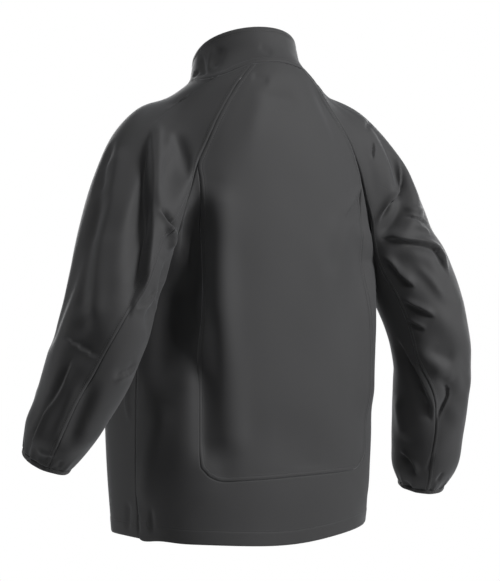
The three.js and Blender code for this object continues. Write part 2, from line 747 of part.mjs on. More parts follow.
const columnOf = (rows, c) => rows.map((row) => row[(c + row.length) % row.length]);

// A grid of places between four edges. Edges run left to right and top to bottom.
function patch(top, bottom, left, right) {
  const across = top.length - 1;
  const down = left.length - 1;
  const blend = (key, r, c) => {
    const u = c / across;
    const v = r / down;
    const sides = lerp(left[r][key], right[r][key], u);
    const ends = lerp(top[c][key], bottom[c][key], v);
    const upper = lerp(top[0][key], top[across][key], u);
    const lower = lerp(bottom[0][key], bottom[across][key], u);
    return sides + ends - lerp(upper, lower, v);
  };
  return left.map((_, r) => top.map((__, c) => ({
    angle: blend('angle', r, c),
    level: blend('level', r, c),
  })));
}

const clothRows = (grid) => grid.map((row) => row.map(({ angle, level }) => (
  foldedBodyPoint(angle, level, bodyFreedom(angle, level))
)));

// Puts a seam's shared spots on the edge of a piece
function useSpots(rows, cells, spots) {
  cells.forEach(([r, c], i) => {
    rows[r][c] = copySpot(spots[i]);
  });
  return cells.map(([r, c]) => rows[r][c]);
}

function backPanel() {
  const neckAngle = RAGLAN_UPPER[0].angle;
  const top = range(PANEL_COLUMNS).map((t) => {
    const angle = lerp(neckAngle, -neckAngle, t);
    return { angle, level: neckAt(Math.abs(angle)) };
  });
  const left = [...raglanBack, ...panelSide.slice(1)];
  const rows = clothRows(patch(top, panelBottom, left, mirror(left)));
  const last = PANEL_COLUMNS;
  const foot = rows.length - 1;
  const cells = range(UPPER_STEPS).map((_, i) => i);
  const leftSpots = armholes.left.slice(NECK_HALF, NECK_HALF + UPPER_STEPS + 1);
  const rightSpots = armholes.right.slice(NECK_HALF, NECK_HALF + UPPER_STEPS + 1);
  const before = rows.map((row) => row.map(copySpot));
  const leftEdge = useSpots(rows, cells.map((r) => [r, 0]), leftSpots);
  const rightEdge = useSpots(rows, cells.map((r) => [r, last]), rightSpots);
  openEdge(columnOf(rows, 0).slice(UPPER_STEPS), columnOf(before, 1).slice(UPPER_STEPS));
  openEdge(columnOf(rows, last).slice(UPPER_STEPS), columnOf(before, last - 1).slice(UPPER_STEPS));
  openEdge(rows[foot], before[foot - 1]);
  openEdge(rows[0], before[1]);
  openShared(leftEdge, -1);
  openShared(rightEdge, -1);
  return rows;
}

function backSurround() {
  const inner = [...panelSide.slice(0, -1), ...panelBottom, ...mirror(panelSide).reverse().slice(1)];
  const sideFoot = sideSeam[SIDE_STEPS].angle;
  const hem = range(BAND_STEPS).map((t) => {
    const angle = lerp(sideFoot, -sideFoot, t);
    return { angle, level: hemAt(angle) };
  });
  const outer = [...sideSeam.slice(0, -1), ...hem, ...mirror(sideSeam).reverse().slice(1)];
  const steps = inner.length - 1;
  const grid = inner.map((start, i) => range(LOWER_STEPS).map((t, c) => {
    const end = outer[i];
    const nearEnd = Math.min(i, steps - i);
    const sign = i < steps / 2 ? 1 : -1;
    const fade = (1 - smooth(nearEnd, 0, 6));
    const straight = lerp(raglanLower[0].angle, raglanLower[LOWER_STEPS].angle, t);
    const bentAngle = sign * (raglanLower[c].angle - straight);
    const bentLevel = raglanLower[c].level - lerp(raglanLower[0].level, raglanLower[LOWER_STEPS].level, t);
    return {
      angle: lerp(start.angle, end.angle, t) + fade * bentAngle,
      level: lerp(start.level, end.level, t) + fade * bentLevel,
    };
  }));
  const rows = clothRows(grid);
  const before = rows.map((row) => row.map(copySpot));
  const from = NECK_HALF + UPPER_STEPS;
  const cells = range(LOWER_STEPS).map((_, i) => i);
  const leftSpots = armholes.left.slice(from, from + LOWER_STEPS + 1);
  const leftEdge = useSpots(rows, cells.map((c) => [0, c]), leftSpots);
  const rightSpots = armholes.right.slice(from, from + LOWER_STEPS + 1);
  const rightEdge = useSpots(rows, cells.map((c) => [steps, c]), rightSpots);
  openEdge(columnOf(rows, 0), columnOf(before, 1));
  openEdge(columnOf(rows, LOWER_STEPS), columnOf(before, LOWER_STEPS - 1));
  openShared(leftEdge, -1);
  openShared(rightEdge, -1);
  return rows;
}

function front(sleeve) {
  const { side } = SLEEVES[sleeve];
  const outer = [...[...raglanFront].reverse(), ...sideSeam.slice(1)];
  const down = outer.length - 1;
  const acrossAt = (from, level) => {
    const facing = zipAngle(ZIP_FACING, level);
    const edge = zipAngle(ZIP_SLOT, level);
    return [...range(FRONT_COLUMNS - 1).map((t) => lerp(from, facing, t)), edge];
  };
  const topCorner = outer[0].angle;
  const neckLevel = neckAt(180);
  const top = acrossAt(topCorner, neckLevel).map((angle) => ({ angle, level: neckAt(angle) }));
  const bottom = acrossAt(outer[down].angle, HEM).map((angle) => ({ angle, level: hemAt(angle) }));
  const grid = outer.map((start, r) => {
    const t = r / down;
    const zipLevel = lerp(neckLevel, HEM, t);
    const angles = acrossAt(start.angle, zipLevel);
    return angles.map((angle, c) => {
      const u = (angle - start.angle) / (angles[FRONT_COLUMNS] - start.angle);
      const topBend = top[c].level - lerp(top[0].level, top[FRONT_COLUMNS].level, u);
      const bottomBend = bottom[c].level - lerp(bottom[0].level, bottom[FRONT_COLUMNS].level, u);
      const level = lerp(start.level, zipLevel, u) + topBend * (1 - t) ** 3 + bottomBend * t ** 3;
      return { angle: side * angle, level };
    });
  });
  const rows = clothRows(grid);
  const before = rows.map((row) => row.map(copySpot));
  const spots = armholes[sleeve].slice(ARMPIT_COLUMN, ARMPIT_COLUMN + FRONT_STEPS + 1).reverse();
  const edge = useSpots(rows, spots.map((_, r) => [r, 0]), spots);
  openEdge(columnOf(rows, 0).slice(FRONT_STEPS), columnOf(before, 1).slice(FRONT_STEPS));
  openEdge(rows[0], before[1]);
  openShared(edge, -1);
  return rows;
}

function collar() {
  const backCorner = RAGLAN_UPPER[0].angle;
  const frontCorner = RAGLAN_FRONT[RAGLAN_FRONT.length - 1].angle;
  const facing = zipAngle(ZIP_FACING, 0);
  const edge = zipAngle(ZIP_SLOT, 0);
  const half = [
    ...range(COLLAR_BACK_STEPS / 2).map((t) => lerp(0, backCorner, t)),
    ...range(NECK_STEPS).slice(1).map((t) => lerp(backCorner, frontCorner, t)),
    ...range(COLLAR_FRONT_STEPS - 1).slice(1).map((t) => lerp(frontCorner, facing, t)),
    edge,
  ];
  const angles = [...half.slice(1).reverse(), ...half.map((angle) => -angle)];
  const last = angles.length - 1;
  const rows = range(COLLAR_ROWS).map((t) => angles.map((around, c) => {
    const a = Math.abs(around);
    const level = lerp(neckAt(a), COLLAR_TOP, t);
    const exact = c === 0 || c === last ? zipAngle(ZIP_SLOT, level) : null;
    const besideZip = c === 1 || c === last - 1 ? zipAngle(ZIP_FACING, level) : null;
    return bodyPoint(Math.sign(around) * (exact ?? besideZip ?? a), level, wholeDistance);
  }));
  const before = rows.map((row) => row.map(copySpot));
  openEdge(rows[0], before[1]);
  return rows;
}

// Zip tape behind one front edge, made from the edge's own two columns, moved in
function tape(frontRows, collarRows, side) {
  const edgeColumn = (rows, edge, next, wall) => rows.map((row) => {
    const inward = (spot) => spot.point.clone().addScaledVector(spot.normal, -wall - SEAM_GAP);
    const outer = inward(row[next]);
    const inner = inward(row[edge]);
    const past = (ZIP_SLOT - TAPE_SPLIT) / (ZIP_FACING - ZIP_SLOT);
    const tip = inner.clone().lerp(outer, -past);
    return [outer, inner, tip].map((point) => ({ point, normal: row[edge].normal, inset: vec(0, 0, 0) }));
  });
  const lastFront = frontRows[0].length - 1;
  const lastCollar = collarRows[0].length - 1;
  const [collarEdge, collarNext] = side > 0 ? [0, 1] : [lastCollar, lastCollar - 1];
  const upper = edgeColumn([...collarRows].reverse(), collarEdge, collarNext, COLLAR_WALL);
  const lower = edgeColumn(frontRows, lastFront, lastFront - 1, WALL);
  return wallGeometry([...upper, ...lower.slice(1)], TAPE_THICK);
}

// The two rows of teeth as one strip that fills the slot between the front edges
function chain(frontRows, collarRows) {
  const lastFront = frontRows[0].length - 1;
  const across = (spot, depth) => [-CHAIN_HALF, CHAIN_HALF].map((x) => {
    const point = vec(x, spot.point.y, spot.point.z);
    const normal = vec(0, spot.normal.y, spot.normal.z).normalize();
    point.addScaledVector(normal, -depth);
    return { point, normal, inset: vec(0, 0, 0) };
  });
  const upper = [...collarRows].reverse().map((row) => across(row[0], COLLAR_WALL - CHAIN_THICK));
  const lower = frontRows.slice(1).map((row) => across(row[lastFront], WALL - CHAIN_THICK));
  const rows = [...upper, ...lower];
  const shorten = (end, next, length) => end.forEach((spot, c) => {
    const direction = next[c].point.clone().sub(spot.point).normalize();
    spot.point.addScaledVector(direction, length);
  });
  shorten(rows[0], rows[1], 3);
  shorten(rows[rows.length - 1], rows[rows.length - 2], STOP_BOX.height + 1);
  return { geometry: wallGeometry(rows, CHAIN_THICK), foot: rows[rows.length - 1], head: rows[0] };
}

// Elastic binding that closes a sleeve's end
function cuff(sleeve, lastRow) {
  const section = sleeveSection(sleeve, SLEEVES[sleeve].end);
  const place = (t) => lastRow.map((spot) => {
    const point = spot.point.clone().addScaledVector(section.normal, SEAM_GAP / 2 + CUFF_LENGTH * t);
    point.addScaledVector(spot.normal, 0.6 * Math.sin(Math.PI * t) - 1.2 * t);
    return { ...spot, point };
  });
  return wallGeometry(range(2).map(place), CUFF_WALL, true);
}

const wasm = await Module();
wasm.setup();

function toSolid(geometry) {
  const bare = geometry.clone();
  bare.deleteAttribute('normal');
  bare.deleteAttribute('uv');
  const merged = mergeVertices(bare, 1e-4);
  return new wasm.Manifold(new wasm.Mesh({
    numProp: 3,
    vertProperties: new Float32Array(merged.getAttribute('position').array),
    triVerts: new Uint32Array(merged.getIndex().array),
  }));
}

function toGeometry(solid) {
  const mesh = solid.getMesh();
  const geometry = new THREE.BufferGeometry();
  geometry.setAttribute('position', new THREE.Float32BufferAttribute(mesh.vertProperties, 3));
  geometry.setIndex(Array.from(mesh.triVerts));
  geometry.computeVertexNormals();
  return geometry;
}

function roundedOutline(width, height, radius, centreY) {
  const shape = new THREE.Shape();
  const x = width / 2 - radius;
  const y = height / 2 - radius;
  shape.absarc(x, centreY + y, radius, 0, Math.PI / 2, false);
  shape.absarc(-x, centreY + y, radius, Math.PI / 2, Math.PI, false);
  shape.absarc(-x, centreY - y, radius, Math.PI, 1.5 * Math.PI, false);
  shape.absarc(x, centreY - y, radius, 1.5 * Math.PI, 2 * Math.PI, false);
  shape.closePath();
  return shape;
}

// The slider's own frame: x across, y up along the chain, z out of the jacket
const BAR_HEIGHT = SLIDER.lift + SLIDER.plate + BRIDGE.window / 2;

function slider() {
  const plateShape = roundedOutline(SLIDER.width, SLIDER.height, 2.4, 0);
  const plateCut = { depth: SLIDER.plate, bevelEnabled: false, curveSegments: 5 };
  const plate = new THREE.ExtrudeGeometry(plateShape, plateCut);
  plate.translate(0, 0, SLIDER.lift);
  const outer = new THREE.Shape();
  const face = SLIDER.lift + SLIDER.plate;
  const tall = BRIDGE.reach / 2 + BRIDGE.leg;
  const roof = face + BRIDGE.window + BRIDGE.roof;
  outer.moveTo(-tall, face - 0.6);
  outer.lineTo(tall, face - 0.6);
  outer.lineTo(tall, roof - 1);
  outer.lineTo(tall - 1, roof);
  outer.lineTo(-tall + 1, roof);
  outer.lineTo(-tall, roof - 1);
  outer.closePath();
  const window = new THREE.Path();
  window.moveTo(-BRIDGE.reach / 2, face);
  window.lineTo(BRIDGE.reach / 2, face);
  window.lineTo(BRIDGE.reach / 2, face + BRIDGE.window);
  window.lineTo(-BRIDGE.reach / 2, face + BRIDGE.window);
  window.closePath();
  outer.holes.push(window);
  const bridge = new THREE.ExtrudeGeometry(outer, { depth: BRIDGE.width, bevelEnabled: false });
  bridge.translate(0, 0, -BRIDGE.width / 2);
  const turn = new THREE.Matrix4().makeBasis(vec(0, 1, 0), vec(0, 0, 1), vec(1, 0, 0));
  bridge.applyMatrix4(turn);
  return toGeometry(toSolid(plate).add(toSolid(bridge)));
}

function pullTab() {
  const top = TAB.bar / 2;
  const outline = roundedOutline(TAB.width, TAB.length, 2, top - TAB.length / 2);
  const eye = new THREE.Path();
  const eyeTop = -TAB.bar / 2;
  eye.moveTo(-TAB.eye / 2, eyeTop);
  eye.lineTo(TAB.eye / 2, eyeTop);
  eye.lineTo(TAB.eye / 2, eyeTop - TAB.eyeLength);
  eye.lineTo(-TAB.eye / 2, eyeTop - TAB.eyeLength);
  eye.closePath();
  outline.holes.push(eye);
  const cut = { depth: TAB.thick, bevelEnabled: false, curveSegments: 4 };
  const tab = new THREE.ExtrudeGeometry(outline, cut);
  tab.translate(0, 0, -TAB.thick / 2);
  return tab;
}

const jacket = new THREE.Group();

function add(name, geometry, finish, parent = jacket) {
  const mesh = new THREE.Mesh(geometry, new THREE.MeshStandardMaterial(finish));
  mesh.name = name;
  parent.add(mesh);
  return mesh;
}

const collarRows = collar();
const fronts = { left: front('left'), right: front('right') };

add('back_panel', wallGeometry(backPanel(), WALL), CLOTH);
add('back_surround', wallGeometry(backSurround(), WALL), CLOTH);
add('front_left', wallGeometry(fronts.left, WALL), CLOTH);
add('front_right', wallGeometry(fronts.right, WALL), CLOTH);
add('collar', wallGeometry(collarRows, COLLAR_WALL), CLOTH);

for (const sleeve of ['left', 'right']) {
  const rows = sleeveRows(sleeve);
  openShared(rows[0], 1);
  for (const corner of [NECK_HALF, RING - NECK_HALF]) rows[0][corner].point.z -= SEAM_GAP / 2;
  const under = rows.map((row) => row.slice(BACK_COLUMN, FRONT_COLUMN + 1).map(copySpot));
  const top = rows.map((row) => [...row.slice(FRONT_COLUMN), ...row.slice(0, BACK_COLUMN + 1)].map(copySpot));
  for (const half of [under, top]) {
    const last = half[0].length - 1;
    const before = half.map((row) => row.map(copySpot));
    openEdge(columnOf(half, 0), columnOf(before, 1));
    openEdge(columnOf(half, last), columnOf(before, last - 1));
  }
  add(`sleeve_top_${sleeve}`, wallGeometry(top, WALL), CLOTH);
  add(`sleeve_under_${sleeve}`, wallGeometry(under, WALL), CLOTH);
  add(`cuff_${sleeve}`, cuff(sleeve, rows[rows.length - 1]), BINDING);
}

add('zip_tape_left', tape(fronts.left, collarRows, 1), TAPE);
add('zip_tape_right', tape(fronts.right, collarRows, -1), TAPE);
const teeth = chain(fronts.left, collarRows);
add('zip_chain', teeth.geometry, TEETH);

// A frame on the front's centre line: x across, y up along the chain, z out of the jacket
function chainFrame(upper, lower, t) {
  const middle = (spots) => spots[0].point.clone().add(spots[1].point).multiplyScalar(0.5);
  const high = middle(upper);
  const low = middle(lower);
  const up = high.clone().sub(low).normalize();
  const out = vec(1, 0, 0).cross(up).normalize();
  const group = new THREE.Group();
  group.applyMatrix4(new THREE.Matrix4().makeBasis(vec(1, 0, 0), up, out).setPosition(low.lerp(high, t)));
  jacket.add(group);
  return group;
}

const surfacePair = (height) => [bodyPoint(180, height), bodyPoint(180, height)];
const sliderFrame = chainFrame(surfacePair(SLIDER.level + 8), surfacePair(SLIDER.level - 24), 0.75);
add('slider', slider(), METAL, sliderFrame);
const tab = add('pull_tab', pullTab(), METAL, sliderFrame);
tab.position.set(0, 0, BAR_HEIGHT);

const stop = new THREE.BoxGeometry(STOP_BOX.width, STOP_BOX.height, STOP_BOX.thick);
const lastRow = fronts.left[fronts.left.length - 1];
const rowAbove = fronts.left[fronts.left.length - 2];
const edgeSpot = (row) => row[row.length - 1];
const edgePair = (row) => [edgeSpot(row), edgeSpot(row)];
const stopFrame = chainFrame(edgePair(rowAbove), edgePair(lastRow), 0);
stopFrame.position.x = 0;
const box = add('zip_stop', stop, METAL, stopFrame);
box.position.set(0, STOP_BOX.height / 2, SEAM_GAP + STOP_BOX.thick / 2);

export default jacket;
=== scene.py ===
"""A charcoal softshell jacket, filled out as when worn: cloth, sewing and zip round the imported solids."""
import math

import bpy
import numpy as np
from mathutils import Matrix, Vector
from mathutils.bvhtree import BVHTree


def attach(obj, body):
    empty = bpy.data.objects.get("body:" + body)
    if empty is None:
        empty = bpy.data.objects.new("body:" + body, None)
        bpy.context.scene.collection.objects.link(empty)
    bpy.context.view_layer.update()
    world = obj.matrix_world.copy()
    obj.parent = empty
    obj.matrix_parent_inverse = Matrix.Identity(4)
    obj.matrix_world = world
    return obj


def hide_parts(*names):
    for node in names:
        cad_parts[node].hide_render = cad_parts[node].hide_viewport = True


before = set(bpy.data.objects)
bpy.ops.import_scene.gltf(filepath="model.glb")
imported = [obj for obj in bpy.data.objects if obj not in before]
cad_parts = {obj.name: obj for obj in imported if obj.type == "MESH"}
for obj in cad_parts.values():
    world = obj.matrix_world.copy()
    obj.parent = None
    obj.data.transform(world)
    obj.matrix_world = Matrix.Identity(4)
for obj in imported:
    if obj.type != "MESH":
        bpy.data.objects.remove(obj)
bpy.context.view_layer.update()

MM = 0.001
JACKET = "jacket"


# Camera and light

PHOTO_WIDTH, PHOTO_HEIGHT = 500, 581
CAMERA_TURN, CAMERA_RISE = math.radians(142.5), math.radians(1)
CAMERA_DISTANCE = 2.8
PIXEL = 1.54 * MM  # what one pixel of the photograph covers at the jacket
FOCAL_PIXELS = CAMERA_DISTANCE / PIXEL
AIM_RIGHT, AIM_UP = 14, -345.7  # what the camera looks at, from the nape: to the picture's right and up
SENSOR = 36

towards = Vector((math.sin(CAMERA_TURN) * math.cos(CAMERA_RISE),
                  -math.cos(CAMERA_TURN) * math.cos(CAMERA_RISE),
                  math.sin(CAMERA_RISE)))
camera_right = (-towards).cross(Vector((0, 0, 1))).normalized()
camera_up = camera_right.cross(-towards)
camera_place = camera_right * AIM_RIGHT * MM + Vector((0, 0, AIM_UP * MM)) + towards * CAMERA_DISTANCE

camera_data = bpy.data.cameras.new("camera")
camera_data.sensor_width = SENSOR
camera_data.lens = FOCAL_PIXELS * SENSOR / PHOTO_HEIGHT  # the sensor's width covers the frame's longer side
camera_data.clip_start, camera_data.clip_end = 0.05, 60
camera = bpy.data.objects.new("camera", camera_data)
camera.location = camera_place
camera.rotation_mode = "QUATERNION"
camera.rotation_quaternion = (-towards).to_track_quat("-Z", "Y")
bpy.context.scene.collection.objects.link(camera)
bpy.context.scene.camera = camera


LIT_PLACE = Vector((0, 0, -0.34))  # the jacket's middle, which every light faces


def soft_light(name, place, size, power):
    """A square soft box at a place round the jacket: metres right, towards the camera and up."""
    data = bpy.data.lights.new(name, "AREA")
    data.shape = "SQUARE"
    data.size = size
    data.energy = power
    light = bpy.data.objects.new(name, data)
    right, near, up = place
    light.location = LIT_PLACE + camera_right * right + towards * near + Vector((0, 0, up))
    light.rotation_mode = "QUATERNION"
    light.rotation_quaternion = (LIT_PLACE - light.location).to_track_quat("-Z", "Y")
    bpy.context.scene.collection.objects.link(light)


soft_light("key_light", (2.72, 0.95, 1.35), 1.0, 80)
soft_light("side_light", (3.04, 0.6, -0.3), 1.0, 14)
soft_light("top_light", (-0.5, 1.2, 3.0), 1.2, 27)
soft_light("left_light", (-3.0, 0.4, 0.3), 1.2, 24)
# These two stand beyond the jacket and show its front
soft_light("front_light", (-1.1, -2.9, 0.9), 1.4, 66)
soft_light("front_fill_light", (1.5, -2.7, 0.4), 1.4, 40)

# A white studio that lights little by itself: only what the camera sees of it is bright
ROOM_GLOW = 0.03
world = bpy.data.worlds.new("studio")
world.use_nodes = True
room = world.node_tree
glow, white = room.nodes["Background"], room.nodes.new("ShaderNodeBackground")
glow.inputs["Color"].default_value = white.inputs["Color"].default_value = (1, 1, 1, 1)
glow.inputs["Strength"].default_value, white.inputs["Strength"].default_value = ROOM_GLOW, 1
choice, path = room.nodes.new("ShaderNodeMixShader"), room.nodes.new("ShaderNodeLightPath")
room.links.new(path.outputs["Is Camera Ray"], choice.inputs[0])
room.links.new(glow.outputs[0], choice.inputs[1])
room.links.new(white.outputs[0], choice.inputs[2])
room.links.new(choice.outputs[0], room.nodes["World Output"].inputs["Surface"])
bpy.context.scene.world = world
bpy.context.scene.view_settings.view_transform = "Standard"


# Materials

class Wire:
    """A value in a material's nodes that can be worked with as a number."""

    def __init__(self, tree, socket):
        self.tree, self.socket = tree, socket

    def work(self, operation, *values):
        node = self.tree.nodes.new("ShaderNodeMath")
        node.operation = operation
        for place, value in enumerate(values):
            if isinstance(value, Wire):
                self.tree.links.new(value.socket, node.inputs[place])
            else:
                node.inputs[place].default_value = value
        return Wire(self.tree, node.outputs[0])

    def __add__(self, other):
        return self.work("ADD", self, other)

    __radd__ = __add__

    def __sub__(self, other):
        return self.work("SUBTRACT", self, other)

    def __rsub__(self, other):
        return self.work("SUBTRACT", other, self)

    def __mul__(self, other):
        return self.work("MULTIPLY", self, other)

    __rmul__ = __mul__

    def __truediv__(self, other):
        return self.work("DIVIDE", self, other)

    def __rtruediv__(self, other):
        return self.work("DIVIDE", other, self)

    def wave(self):
        return self.work("SINE", self)

    def bell(self, middle, width):
        """1 at the middle, falling to nothing over the width."""
        off = (self - middle) / width
        return self.work("EXPONENT", off * off * -1)


class Finish:
    """One material, its nodes and its surface shader."""

    def __init__(self, name, **values):
        self.material = bpy.data.materials.new(name)
        self.material.use_nodes = True
        self.tree = self.material.node_tree
        self.shader = self.tree.nodes["Principled BSDF"]
        for socket, value in values.items():
            self.shader.inputs[socket.replace("_", " ").title().replace("Ior", "IOR")].default_value = value
        self.material.diffuse_color = self.shader.inputs["Base Color"].default_value

    def node(self, kind, settings=None, values=None, output=0):
        node = self.tree.nodes.new(kind)
        for setting, value in (settings or {}).items():
            if setting == "stops":
                for stop, (place, shade) in zip(node.color_ramp.elements, value):
                    stop.position = place
                    stop.color = (shade, shade, shade, 1)
            else:
                setattr(node, setting, value)
        for socket, value in (values or {}).items():
            if isinstance(value, Wire):
                self.tree.links.new(value.socket, node.inputs[socket])
            else:
                node.inputs[socket].default_value = value
        return Wire(self.tree, node.outputs[output])

    def feed(self, socket, wire):
        self.tree.links.new(wire.socket, self.shader.inputs[socket])

    def place(self):
        """The place on the part, in metres, the same in every pose."""
        return self.node("ShaderNodeTexCoord", output=3)

    def measure(self, name):
        """A number that a piece's points carry."""
        return self.node("ShaderNodeAttribute", {"attribute_name": name}, output=2)

    def noise(self, scale, detail=2, roughness=0.5):
        values = {"Vector": self.place(), "Scale": scale, "Detail": detail, "Roughness": roughness}
        return self.node("ShaderNodeTexNoise", None, values)

    def shades(self, amount, dark, light):
        """Runs from a dark to a light colour."""
        values = {0: amount, 6: (*dark, 1), 7: (*light, 1)}
        return self.node("ShaderNodeMix", {"data_type": "RGBA"}, values, output=2)

    def bump(self, height):
        """A surface raised by a height in metres."""
        return self.node("ShaderNodeBump", None, {"Height": height, "Distance": 1, "Strength": 1})


def grey(value, warm=0.0):
    """A near grey in linear light, a little blue unless it is made warm."""
    return (value * (1 + warm), value, value * (1 - warm) * 1.03)


def softshell(name, lightness=1.0, inside=False):
    """The jacket's cloth: a fine knitted face, with grooves where it is stitched and seamed."""
    shade = CLOTH_SHADE * lightness
    cloth = Finish(name, roughness=0.68, sheen_weight=0.25, sheen_roughness=0.45, specular_ior_level=0.28)
    cloth.shader.inputs["Sheen Tint"].default_value = (0.75, 0.77, 0.8, 1)
    broad = cloth.noise(9, 3)
    fine = cloth.noise(900, 2, 0.6)
    cloth.feed("Base Color", cloth.shades(broad * 0.5 + fine * 0.5, grey(shade * 0.86), grey(shade * 1.12)))
    cloth.feed("Roughness", 0.6 + fine * 0.1 + broad * 0.06)
    height = fine * 0.00002
    if not inside:
        sewn = cloth.measure("sewn")
        line = cloth.measure("line")
        height = height - sewn.bell(0, 0.8) * 0.00022 - line.bell(0, 0.55) * 0.0004
    cloth.feed("Normal", cloth.bump(height))
    return cloth.material


def thread(name):
    """Twisted sewing thread."""
    yarn = Finish(name, roughness=0.5, sheen_weight=0.15, specular_ior_level=0.4)
    twist = yarn.noise(2600, 1)
    yarn.feed("Base Color", yarn.shades(twist, grey(0.03), grey(0.06)))
    yarn.feed("Normal", yarn.bump(twist * 0.0001))
    return yarn.material


def binding(name):
    """The cloth of the bindings, with the fine ribs of elastic under it."""
    elastic = Finish(name, roughness=0.66, sheen_weight=0.2, sheen_roughness=0.5, specular_ior_level=0.3)
    broad, fine = elastic.noise(14, 3), elastic.noise(1100, 2, 0.6)
    ribs = elastic.measure("rib").wave()
    elastic.feed("Base Color", elastic.shades(broad * 0.5 + fine * 0.5, grey(0.036), grey(0.05)))
    elastic.feed("Roughness", 0.58 + fine * 0.12)
    elastic.feed("Normal", elastic.bump(fine * 0.00002 + ribs * 0.00007))
    return elastic.material


def woven_tape(name):
    """Ribbed polyester tape: rows across it and fine warp along it."""
    tape = Finish(name, roughness=0.75, sheen_weight=0.3, sheen_roughness=0.5, specular_ior_level=0.25)
    place = tape.place()
    across = tape.node("ShaderNodeSeparateXYZ", None, {0: place}, output=0)
    up = tape.node("ShaderNodeSeparateXYZ", None, {0: place}, output=2)
    weft = (up * WEFT).wave()
    warp = (across * WARP).wave()
    weave = weft * 0.5 + warp * 0.3 + tape.noise(1800, 1) * 0.4
    tape.feed("Base Color", tape.shades(weave * 0.5 + 0.35, grey(0.010), grey(0.024)))
    tape.feed("Roughness", 0.7 + weave * 0.06)
    tape.feed("Normal", tape.bump(weave * 0.00008))
    return tape.material


def moulded(name):
    """Moulded plastic with a faint grain and rubbed places."""
    plastic = Finish(name, roughness=0.38, specular_ior_level=0.45)
    grain, rubbed = plastic.noise(1400, 2), plastic.noise(120, 3, 0.6)
    plastic.feed("Base Color", plastic.shades(rubbed * 0.7 + grain * 0.3, grey(0.012), grey(0.03)))
    plastic.feed("Roughness", 0.3 + rubbed * 0.22)
    plastic.feed("Normal", plastic.bump(grain * 0.00002))
    return plastic.material


def painted_metal(name):
    """Cast metal with dark lacquer, worn brighter in small places."""
    metal = Finish(name, metallic=0.85, roughness=0.36)
    worn, grain = metal.noise(260, 4, 0.65), metal.noise(1900, 2)
    bare = metal.node("ShaderNodeValToRGB", {"stops": ((0.56, 0), (0.74, 1))}, {0: worn})
    metal.feed("Base Color", metal.shades(bare, grey(0.028), grey(0.16, 0.03)))
    metal.feed("Roughness", 0.4 - bare * 0.1 + grain * 0.08)
    metal.feed("Normal", metal.bump(grain * 0.000015 - bare * 0.00002))
    return metal.material


CLOTH_SHADE = 0.047
WEFT, WARP = 2 * math.pi / 0.0009, 2 * math.pi / 0.0006  # turns of the weave in each metre

cloth_finish = softshell("softshell_cloth")
thread_finish = thread("sewing_thread")
lining_finish = softshell("cloth_wrong_side", 0.7, inside=True)
binding_finish = binding("elastic_binding_cloth")
tape_finish = woven_tape("woven_zip_tape")
tooth_finish = moulded("zip_plastic")
metal_finish = painted_metal("lacquered_metal")


# Cloth from the solids

WALL = 2.0  # the solids' walls in millimetres, and the few that differ
WALLS = {"collar": 3.0, "zip_tape_left": 0.8, "zip_tape_right": 0.8}
WALL_SHARE, TAPE_WALL_SHARE = 0.75, 0.9  # the parts of them that the pieces made here keep

# Each cloth solid is a sheet of rows and columns. These are its first corner and the next one down the rows, as
# parts of its box: 0 is the low side and 1 the high side, along x, y and z.
SHEETS = {
    "back_panel": ((0.75, 0.3, 1), (1, 0.5, 0)),
    "back_surround": ((0.9, 0.5, 0.95), (0, 0.5, 0.95)),
    "front_left": ((0.3, 0.4, 1), (1, 1, 0)),
    "front_right": ((0.7, 0.4, 1), (0, 1, 0)),
    "collar": ((0.5, 0, 0), (0.5, 0, 0.5)),
    "sleeve_top_left": ((0.5, 0, 0.6), (1, 0.2, 0)),
    "sleeve_top_right": ((0.5, 0, 0.6), (0, 0.2, 0)),
    "sleeve_under_left": ((0, 1, 1), (1, 0.3, 0)),
    "sleeve_under_right": ((1, 1, 1), (0, 0.3, 0)),
    "zip_tape_left": ((0, 0.5, 1), (0, 0.5, 0)),
    "zip_tape_right": ((1, 0.5, 1), (1, 0.5, 0)),
}
TAPES = ("zip_tape_left", "zip_tape_right")
TAPE_SPACING = 2.4


def merged(node):
    """A node's points and triangles, each point once, in millimetres."""
    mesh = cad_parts[node].data
    points = np.empty(len(mesh.vertices) * 3)
    mesh.vertices.foreach_get("co", points)
    points = points.reshape(-1, 3) / MM
    corners = np.empty(len(mesh.loops), int)
    mesh.loops.foreach_get("vertex_index", corners)
    _, first, inverse = np.unique(points.round(2), axis=0, return_index=True, return_inverse=True)
    return points[first], inverse.reshape(-1)[corners].reshape(-1, 3)


JOINING_ROUNDS = 200  # enough for a number to spread over the largest face


def outer_face(points, triangles, wall):
    """The larger of a cloth solid's two faces, without the edges that are as wide as its wall."""
    sides = points[triangles] - points[np.roll(triangles, 1, axis=1)]
    lengths = np.linalg.norm(sides, axis=2)
    face = triangles[np.all(np.abs(lengths - wall) > 0.03, axis=1)]
    group = np.arange(len(points))
    for _ in range(JOINING_ROUNDS):
        low = group[face].min(axis=1)
        new = group.copy()
        for k in range(3):
            np.minimum.at(new, face[:, k], low)
        if np.array_equal(new, group):
            break
        group = new

    def area(part):
        a, b, c = (points[part[:, k]] for k in range(3))
        return np.linalg.norm(np.cross(b - a, c - a), axis=1).sum()

    kinds = sorted(set(group[face[:, 0]]), key=lambda g: -area(face[group[face[:, 0]] == g]))
    return face[group[face[:, 0]] == kinds[0]]


